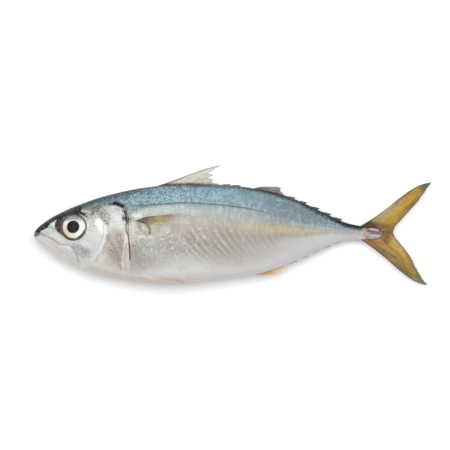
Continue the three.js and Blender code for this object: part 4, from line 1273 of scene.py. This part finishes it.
def skin_material():
    material, tree, shader = new_material("fish_skin", **{
        "Metallic": 0.1, "Specular IOR Level": 0.3, "Coat Roughness": 0.14, "Coat IOR": 1.34,
        "Subsurface Weight": 0.04, "Subsurface Scale": 0.002,
    })
    place = add(tree, "ShaderNodeTexCoord").outputs["Object"]
    band, rear = attribute(tree, "band"), attribute(tree, "rear")
    lay = partial(tint, tree)

    # The bands, with their borders shaken by a coarse and a fine noise.
    coarse, fine = noise(tree, place, 150.0, 3.0), noise(tree, place, 1500.0, 2.0)
    shaken = math_node(tree, "MULTIPLY_ADD", coarse, 0.14, math_node(tree, "SUBTRACT", band, 0.07))
    shaken = math_node(tree, "MULTIPLY_ADD", fine, 0.05, math_node(tree, "SUBTRACT", shaken, 0.025))
    share = map_range(tree, shaken, -1.0, 1.0)
    colour = ramp(tree, share, [((v + 1) / 2, tone) for v, tone in BAND_COLOURS])
    head = ramp(tree, share, [((v + 1) / 2, tone) for v, tone in HEAD_COLOURS])

    # The back: fine light and dark scales in front, greyer and smoother behind.
    on_back = map_range(tree, band, -0.04, 0.06)
    fore = attribute(tree, "shoulder")
    some_fore = map_range(tree, fore, 0.0, 1.0, 0.2, 1.0)
    scales = noise(tree, place, 1350.0, 2.0, 0.7)
    blotches = noise(tree, place, 420.0, 2.0, 0.6)
    colour = lay(colour, "#6d777b", 0.78, on_back, map_range(tree, rear, 0.05, 0.85))
    blotched = math_node(tree, "MULTIPLY", on_back, map_range(tree, rear, 0.2, 1.0, 1.0, 0.5))
    colour = lay(colour, "#6a8a9a", 0.45, map_range(tree, blotches, 0.52, 0.38), blotched)
    colour = lay(colour, "#b9d6e4", 0.4, map_range(tree, blotches, 0.5, 0.64), blotched)
    colour = lay(colour, "#bcdcea", 0.86, map_range(tree, scales, 0.5, 0.63), on_back, some_fore)
    colour = lay(colour, "#3c5866", 0.9, map_range(tree, scales, 0.5, 0.37), on_back, some_fore)
    colour = lay(colour, "#3c484b", 0.8, pepper(tree, place, 1300.0), attribute(tree, "speckled"))
    colour = lay(colour, "#dfdddd", 0.8, map_range(tree, band, -0.34, -0.52), rear)

    # Upright streaks cross the lateral line.
    streaks = drawn_noise(tree, place, (640.0, 170.0, 170.0), 3.0)
    near_line = map_range(tree, math_node(tree, "ABSOLUTE", band), 0.75, 0.1)
    colour = lay(colour, "#cfd6d5", 0.3, map_range(tree, streaks, 0.5, 0.68), near_line)
    colour = lay(colour, "#7c898d", 0.3, map_range(tree, streaks, 0.5, 0.32), near_line)

    # The muscle segments: thin light seams between broad darker bands.
    phase = math_node(tree, "MULTIPLY", attribute(tree, "rib_phase"), 2 * math.pi)
    ribs = math_node(tree, "SINE", phase)
    uneven = map_range(tree, noise(tree, place, 90.0, 2.0), 0.35, 0.6, 0.25, 1.0)
    seen = math_node(tree, "MULTIPLY", attribute(tree, "rib_strength"), uneven)
    colour = lay(colour, "#e0d9cf", 0.66, map_range(tree, ribs, 0.35, 1.0), seen)
    colour = lay(colour, "#8c8275", 0.52, map_range(tree, ribs, 0.2, -0.8), seen)
    beads = drawn_noise(tree, place, (1100.0, 400.0, 400.0), 2.0, 0.6)
    glints = map_range(tree, beads, 0.35, 0.65, 0.25, 1.0)
    colour = lay(colour, "#d9c9a0", 0.95, attribute(tree, "streak"), glints)

    # Silver scales: a grey mottling, painted glints where they catch the light and darker specks,
    # strongest behind the breast fin.
    glint_grain = drawn_noise(tree, place, (1300.0, 850.0, 850.0), 4.0, 0.65, turn=0.5)
    flank_area = map_range(tree, band, -0.1, -0.25)
    flank_area = math_node(tree, "MULTIPLY", flank_area, map_range(tree, rear, 0.6, 0.0, 0.25, 1.0))
    rough_area = map_range(tree, attribute(tree, "mottled"), 0.0, 1.0, 0.35, 1.0)
    smoke = noise(tree, place, 110.0, 3.0, 0.6)
    above_belly = map_range(tree, band, -0.6, -0.42)
    colour = lay(colour, "#958e87", 0.34, map_range(tree, smoke, 0.52, 0.36), flank_area, above_belly)
    colour = lay(colour, "#d4d0cb", 0.3, map_range(tree, smoke, 0.5, 0.66), flank_area)
    scale_glints, pits = map_range(tree, glint_grain, 0.54, 0.67), map_range(tree, glint_grain, 0.47, 0.34)
    colour = lay(colour, "#f8f7f6", 0.8, scale_glints, flank_area, rough_area)
    colour = lay(colour, "#8b8583", 0.5, pits, flank_area, rough_area)

    # The silver head, with faint painted glints and dark specks of its own.
    head = lay(head, "#f4f7f8", 0.6, map_range(tree, glint_grain, 0.5, 0.72))
    head = lay(head, "#8c969c", 0.3, map_range(tree, glint_grain, 0.5, 0.3))
    colour = mix(tree, attribute(tree, "head"), colour, head)

    # The pigments, with dark cells behind the eye and on the gill cover laid on before the soot.
    cover = math_node(tree, "ADD", attribute(tree, "moss"), attribute(tree, "clay"))
    for name, tone, scale, ragged in PIGMENT_FINISH:
        if name == "soot":
            colour = lay(colour, "#4a5350", 0.5, pepper(tree, place, 1500.0), cover)
        grain = noise(tree, place, scale, 3.0, 0.6)
        colour = mix(tree, frayed(tree, attribute(tree, name), grain, ragged), colour, tone)

    away = math_node(tree, "ABSOLUTE", attribute(tree, "line_away"))
    line = map_range(tree, away, 0.15, 0.6, 1.0, 0.0)
    colour = lay(colour, "#41565d", 0.75, line, attribute(tree, "line_seen"))

    grain = add(tree, "ShaderNodeTexVoronoi", {"Vector": place, "Scale": 1000.0}, feature="SMOOTH_F1")
    height, rough = slime(tree, place, 1700.0, 0.4)
    height = math_node(tree, "MULTIPLY_ADD", grain.outputs["Distance"], -0.8, height)
    height = math_node(tree, "MULTIPLY_ADD", math_node(tree, "MULTIPLY", ribs, seen), 0.6, height)
    dark = math_node(tree, "MAXIMUM", attribute(tree, "ink_and_pit_shade"), attribute(tree, "soot"))
    wet = map_range(tree, attribute(tree, "highlight_and_white"), 0, 1, 0.25, 0.7)
    wet = math_node(tree, "MULTIPLY", wet, map_range(tree, dark, 0.2, 0.9, 1.0, 0.05))
    tree.links.new(wet, shader.inputs["Coat Weight"])
    finish_surface(tree, shader, colour, rough, height, 0.00006, 0.8)
    return material


body.data.materials.append(skin_material())
print("skin:", len(body.data.materials[0].node_tree.nodes), "nodes")

# %% [markdown]
# ## The fins
# A fin's colours follow its rays, so its material reads the UV map that the grid left: U counts
# across the rays and V runs from the root to the edge. Rays are darker and opaque. The skin
# between them is thinner, so the table shows through it, and the whole fin lets some of the
# lamp's light pass, which keeps its shadow pale.

# %% The fin materials
def mix_values(tree, factor, low, high):
    inputs = {0: factor, 2: low, 3: high}
    return add(tree, "ShaderNodeMix", inputs, data_type="FLOAT").outputs[0]


def thin_to_light(material, share):
    """Lets a share of the light that falls on a thin piece through to what lies below it."""
    tree = material.node_tree
    output = next(node for node in tree.nodes if node.type == "OUTPUT_MATERIAL")
    opaque = output.inputs["Surface"].links[0].from_socket
    path = add(tree, "ShaderNodeLightPath")
    clear = add(tree, "ShaderNodeBsdfTransparent")
    passed = math_node(tree, "MULTIPLY", path.outputs["Is Shadow Ray"], share)
    both = add(tree, "ShaderNodeMixShader", {0: passed, 1: opaque, 2: clear.outputs[0]})
    tree.links.new(both.outputs[0], output.inputs["Surface"])


def fin_material(name, rays, across, root, tip, ray_tone, streak_tone, thin, patches=()):
    """rays: how many lines are drawn. across: tones over the rays. root, tip: (tone, strength, how
    far along the ray). ray_tone, streak_tone: the dark and light streaks along them. thin: how
    much light passes between the rays, and from where to where along a ray that sets in.
    patches: (mask, tone) pairs that are laid on first."""
    material, tree, shader = new_material(name, **{
        "Specular IOR Level": 0.3, "Coat Weight": 0.2, "Coat Roughness": 0.15,
        "Subsurface Weight": 0.1, "Subsurface Scale": 0.001,
    })
    coordinates = add(tree, "ShaderNodeTexCoord")
    place = coordinates.outputs["Object"]
    split = add(tree, "ShaderNodeSeparateXYZ", {"Vector": coordinates.outputs["UV"]})
    u, v = split.outputs[0], split.outputs[1]
    uneven = math_node(tree, "SUBTRACT", noise(tree, place, 260.0, 3.0), 0.5)
    colour = ramp(tree, math_node(tree, "MULTIPLY_ADD", uneven, 0.14, u), across)
    near_root = map_range(tree, math_node(tree, "MULTIPLY_ADD", uneven, 0.15, v), root[2], 0.0)
    colour = tint(tree, colour, root[0], root[1], near_root)
    for mask, tone in patches:
        strength = frayed(tree, attribute(tree, mask), noise(tree, place, 700.0, 3.0), 0.3)
        colour = mix(tree, strength, colour, tone)

    # Streaks run along the rays, and each ray splits in two halfway to the edge.
    streaks = drawn_noise(tree, coordinates.outputs["UV"], (rays * 1.3, 2.5, 1), 3.0, 0.6)
    colour = tint(tree, colour, streak_tone, 0.55, map_range(tree, streaks, 0.52, 0.68))
    colour = tint(tree, colour, ray_tone, 0.5, map_range(tree, streaks, 0.48, 0.32))

    def ray_lines(count):
        wave = math_node(tree, "COSINE", math_node(tree, "MULTIPLY", u, 2 * math.pi * count))
        return map_range(tree, wave, 0.2, 1.0)

    lines = mix_values(tree, map_range(tree, v, 0.4, 0.6), ray_lines(rays), ray_lines(rays * 2))
    grain = noise(tree, place, 1500.0, 2.0)
    colour = tint(tree, colour, ray_tone, 0.4, lines, map_range(tree, grain, 0.3, 0.6, 0.5, 1.0))

    near_tip = map_range(tree, math_node(tree, "MULTIPLY_ADD", uneven, 0.15, v), tip[2], 1.0)
    colour = tint(tree, colour, tip[0], tip[1], near_tip)
    colour = tint(tree, colour, ray_tone, 0.3, pepper(tree, place, 1500.0))

    between = math_node(tree, "MULTIPLY_ADD", lines, -0.5, 1.0)
    clear = math_node(tree, "MULTIPLY", between, map_range(tree, v, thin[1], thin[2], 0.0, thin[0]))
    height, rough = slime(tree, place, 1500.0, 0.42)
    tree.links.new(math_node(tree, "SUBTRACT", 1.0, clear), shader.inputs["Alpha"])
    lined = math_node(tree, "MULTIPLY_ADD", lines, 1.5, height)
    finish_surface(tree, shader, colour, rough, lined, 0.00008, 0.8)
    thin_to_light(material, 0.6)
    return material


FIN_FINISH = {
    "tail_fin": ("tail_skin", 40, [
        (0.0, "#4c4b37"), (0.04, "#8c8250"), (0.12, "#a89650"), (0.25, "#c2a242"), (0.38, "#c89e30"),
        (0.5, "#9d7428"), (0.6, "#c89a26"), (0.75, "#c49a2a"), (0.86, "#a3852e"), (0.95, "#8b783c"),
        (1.0, "#756944"),
    ], ("#6b4a2c", 0.7, 0.16), ("#6e6e54", 0.85, 0.86), "#6e5626", "#decb86", (0.06, 0.2, 0.6), [
        ("amber", "#e2ae22"), ("straw", "#cdbd8c"), ("ochre", "#ad7d28"), ("bark", "#7d5428"),
        ("salmon", "#b87a4a"), ("clove", "#3d2c20"), ("ash", "#61615b"),
    ]),
    "first_dorsal_fin": ("first_dorsal_skin", 14, [
        (0.0, "#54585a"), (0.04, "#a6a498"), (0.12, "#f4eedb"), (0.4, "#f0e8d0"), (0.7, "#d6d4bc"),
        (1.0, "#a9a98c"),
    ], ("#4a4b3a", 0.95, 0.19), ("#cfccbe", 0.5, 0.8), "#8c877a", "#faf4ee", (0.5, 0.15, 0.5), [
        ("groove", "#4b4a38"),
    ]),
    "second_dorsal_fin": ("second_dorsal_skin", 11, [
        (0.0, "#525140"), (0.25, "#6e6b52"), (0.6, "#8e8a72"), (1.0, "#7c7666"),
    ], ("#3f412e", 0.95, 0.8), ("#b0ac98", 0.6, 0.7), "#66634a", "#bcb69a", (0.25, 0.5, 1.0)),
    "anal_fin": ("anal_skin", 11, [
        (0.0, "#e6d4ac"), (0.25, "#dfb458"), (0.5, "#dca83a"), (0.66, "#e8c478"), (0.8, "#f0dcb8"),
        (1.0, "#f6ecdc"),
    ], ("#e4ca98", 0.5, 0.25), ("#f6ecdc", 0.95, 0.5), "#d2a648", "#f6e4bc", (1.0, 0.25, 0.9)),
    "dorsal_finlets": ("dorsal_finlet_skin", 3, [
        (0.0, "#454a49"), (0.5, "#5b5f5d"), (1.0, "#66686a"),
    ], ("#3d4342", 0.9, 0.5), ("#787a78", 0.5, 0.85), "#3a3e3c", "#82847f", (0.1, 0.5, 1.0)),
    "anal_finlets": ("anal_finlet_skin", 3, [
        (0.0, "#d2bc92"), (0.5, "#dcc698"), (1.0, "#e2d4b6"),
    ], ("#d2c4a8", 0.9, 0.5), ("#e6dbc6", 0.6, 0.85), "#cdb080", "#e8dab8", (0.4, 0.4, 1.0)),
    "breast_fin": ("breast_skin", 12, [
        (0.0, "#75683e"), (0.1, "#9c8650"), (0.3, "#b7a468"), (0.5, "#c6b78a"), (0.66, "#d4c9b0"),
        (1.0, "#dcd6c8"),
    ], ("#6a5132", 0.9, 0.32), ("#d6d6cf", 0.9, 0.5), "#86744c", "#d6caa0", (1.0, 0.25, 0.8), [
        ("copper", "#8a653e"), ("gilt", "#bda968"), ("apex", "#45341f"), ("sand", "#e4dac4"),
        ("sage", "#85806c"),
    ]),
    "pelvic_fin": ("pelvic_skin", 5, [
        (0.0, "#f2e8e0"), (0.5, "#f8f0e6"), (1.0, "#f4e8dc"),
    ], ("#f6eee6", 0.6, 0.3), ("#fdf8f0", 0.6, 0.7), "#efe4d8", "#fffaf2", (0.85, 0.1, 0.7)),
}
for fin in fins:
    finish = FIN_FINISH[fin.name.removesuffix("_left").removesuffix("_right")]
    skin = bpy.data.materials.get(finish[0]) or fin_material(*finish)
    fin.data.materials.append(skin)
print("fin materials:", [finish[0] for finish in FIN_FINISH.values()])

# %% [markdown]
# ## The eye's finish
# The iris is painted in rings round the axis, which the eyeball keeps as a number for each
# vertex: a black pupil, a cream ring, and a dark edge that is widest above and in front. The
# cornea is clear and wet, and lets all the light through to the iris under it.

# %% The eye materials
def eye_coordinates(tree):
    """Millimetres from the eye's middle, towards the tail and towards the back."""
    place = add(tree, "ShaderNodeTexCoord").outputs["Object"]
    split = add(tree, "ShaderNodeSeparateXYZ", {"Vector": place})
    middle = ((EYE_X - ORIGIN[0]) * MM, (EYE_Y - ORIGIN[1]) * MM)
    across, up = (
        math_node(tree, "MULTIPLY_ADD", split.outputs[i], 1 / MM, -middle[i] / MM) for i in (0, 1)
    )
    return place, across, up


def iris_material():
    material, tree, shader = new_material("iris", **{"Specular IOR Level": 0.05})
    place, across, up = eye_coordinates(tree)
    radius = attribute(tree, "from_axis")
    wobble = math_node(tree, "SUBTRACT", noise(tree, place, 500.0, 2.0), 0.5)
    radius = math_node(tree, "MULTIPLY_ADD", wobble, 0.4, radius)
    colour = ramp(tree, map_range(tree, radius, 0.0, EYE_RADIUS), [
        (0.0, "#161514"), (0.46, "#191817"), (0.49, "#756f68"), (0.515, "#c2bdb5"), (0.6, "#cfcbc5"),
        (0.8, "#d2cfca"), (1.0, "#c6c2bc"),
    ])
    ring = map_range(tree, radius, PUPIL_RADIUS, 3.6)
    low_front = math_node(tree, "MULTIPLY_ADD", up, 0.7, across)
    colour = tint(tree, colour, "#a99277", 0.66, map_range(tree, low_front, -1.5, -7.0), ring)
    # The dark edge of the iris lies off centre, so it is widest towards the snout.
    shifted = add(tree, "ShaderNodeCombineXYZ", {0: math_node(tree, "SUBTRACT", across, 0.35), 1: up})
    length = add(tree, "ShaderNodeVectorMath", {0: shifted.outputs[0]}, operation="LENGTH")
    from_middle = math_node(tree, "MULTIPLY_ADD", wobble, 0.4, length.outputs["Value"])
    edge_tone = ramp(tree, map_range(tree, across, -4.0, 3.0), [(0.0, "#6a5244"), (1.0, "#2b2826")])
    colour = mix(tree, map_range(tree, from_middle, 5.95, 6.3), colour, edge_tone)
    # Dark specks gather at its lower rear edge.
    low_rear = math_node(tree, "MULTIPLY_ADD", up, -1.0, across)
    low_rear = math_node(tree, "MULTIPLY_ADD", wobble, 2.0, low_rear)
    smudge, outer = map_range(tree, low_rear, 6.6, 8.4), map_range(tree, radius, 5.4, 6.2)
    colour = tint(tree, colour, "#3c3836", 0.9, smudge, outer)
    specks = noise(tree, place, 900.0, 3.0, 0.7)
    upper = map_range(tree, math_node(tree, "MULTIPLY_ADD", specks, 3.0, up), 4.0, 6.0)
    grey = ramp(tree, specks, [(0.4, "#454241"), (0.5, "#706e6c"), (0.62, "#989693")])
    colour = tint(tree, colour, grey, 0.9, upper, map_range(tree, radius, 3.4, 4.6))
    rough = map_range(tree, specks, 0.3, 0.7, 0.35, 0.5)
    finish_surface(tree, shader, colour, rough, specks, 0.00003)
    return material


def cornea_material():
    material, _, _ = new_material("cornea", **{
        "Base Color": (1, 1, 1, 1), "Roughness": 0.04, "IOR": 1.12, "Transmission Weight": 1.0,
    })
    thin_to_light(material, 1.0)
    return material


def rim_material():
    material, tree, shader = new_material("eye_rim_skin", **{
        "Specular IOR Level": 0.3, "Coat Weight": 0.15, "Coat Roughness": 0.1,
    })
    place, across, up = eye_coordinates(tree)
    blotches = noise(tree, place, 600.0, 3.0)
    colour = ramp(tree, blotches, [(0.35, "#2b2827"), (0.5, "#4a4542"), (0.68, "#8a837d")])
    colour = tint(tree, colour, "#6b544a", 0.85, map_range(tree, across, -2.0, -6.5))
    behind, low = map_range(tree, across, 4.0, 6.6), map_range(tree, up, 5.0, 1.0)
    colour = tint(tree, colour, "#a39d95", 0.5, behind, low)
    height, rough = slime(tree, place, 1700.0, 0.35)
    finish_surface(tree, shader, colour, rough, height, 0.00004)
    return material


iris, clear_cornea, rim_skin = iris_material(), cornea_material(), rim_material()
for pieces, finish in ((eyes, iris), (corneas, clear_cornea), (rims, rim_skin)):
    for piece in pieces:
        piece.data.materials.append(finish)
print("eye materials:", iris.name, clear_cornea.name, rim_skin.name)

# %% [markdown]
# ## Floor, light and camera
# The fish lies on a plain white table. A large soft light hangs almost overhead, a little behind
# its back, so the shadow falls as a soft grey edge below the belly, and a bright even sky fills
# everything else. The camera looks straight down through a long lens.

# %% Stage
TABLE_SIZE, TABLE_TOP = 6, -0.0002
SKY_STRENGTH = 0.46
LAMP_PLACE, LAMP_WATTS = (0.0, 0.26, 0.96), 8.9
LAMP_WIDTH, LAMP_DEPTH = 1.2, 0.54
VIEW_WIDTH = 0.243
VIEW_MIDDLE = (-0.00446, 0.00048, 0.0115)
LENS, SENSOR_WIDTH = 600, 36

floor = new_piece("table", bpy.ops.mesh.primitive_plane_add, size=TABLE_SIZE, location=(0, 0, TABLE_TOP))
white, _, _ = new_material("table_white", **{
    "Base Color": (0.95, 0.95, 0.95, 1), "Roughness": 0.8, "Specular IOR Level": 0.1,
    "Emission Color": (1, 1, 1, 1), "Emission Strength": 0.09,
})
floor.data.materials.append(white)

world = bpy.data.worlds.new("sky")
bpy.context.scene.world = world
world.use_nodes = True
world.node_tree.nodes["Background"].inputs["Color"].default_value = (1, 1, 1, 1)
world.node_tree.nodes["Background"].inputs["Strength"].default_value = SKY_STRENGTH

lamp = bpy.data.lights.new("key_softbox", "AREA")
lamp.shape = "RECTANGLE"
lamp.size, lamp.size_y = LAMP_WIDTH, LAMP_DEPTH
lamp.energy = LAMP_WATTS
softbox = bpy.data.objects.new("key_softbox", lamp)
softbox.location = LAMP_PLACE
softbox.rotation_euler = (-Vector(LAMP_PLACE)).to_track_quat("-Z", "Y").to_euler()
bpy.context.scene.collection.objects.link(softbox)

camera_data = bpy.data.cameras.new("camera")
camera_data.lens = LENS
camera_data.sensor_width = SENSOR_WIDTH
camera = bpy.data.objects.new("camera", camera_data)
distance = VIEW_WIDTH * LENS / SENSOR_WIDTH
camera.location = Vector(VIEW_MIDDLE) + Vector((0, 0, distance))
bpy.context.scene.collection.objects.link(camera)
bpy.context.scene.camera = camera
bpy.context.scene.view_settings.view_transform = "Standard"
print("camera distance:", round(distance, 3), "m")

# %% [markdown]
# ## Putting the pieces on the frame
# Every piece rides on the one body of the fish and stands for its solid, which is hidden.
# The visual model must stay in the solid's box.

# %% Finish
for piece in [body, *fins, *rims, *eyes, *corneas]:
    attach(piece, "root")
for piece in [body, *rims]:
    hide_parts("fish")
for piece in fins:
    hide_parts("fish")
for pair in (eyes, corneas):
    for piece, node in zip(pair, ("eye_left", "eye_right")):
        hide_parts(node)
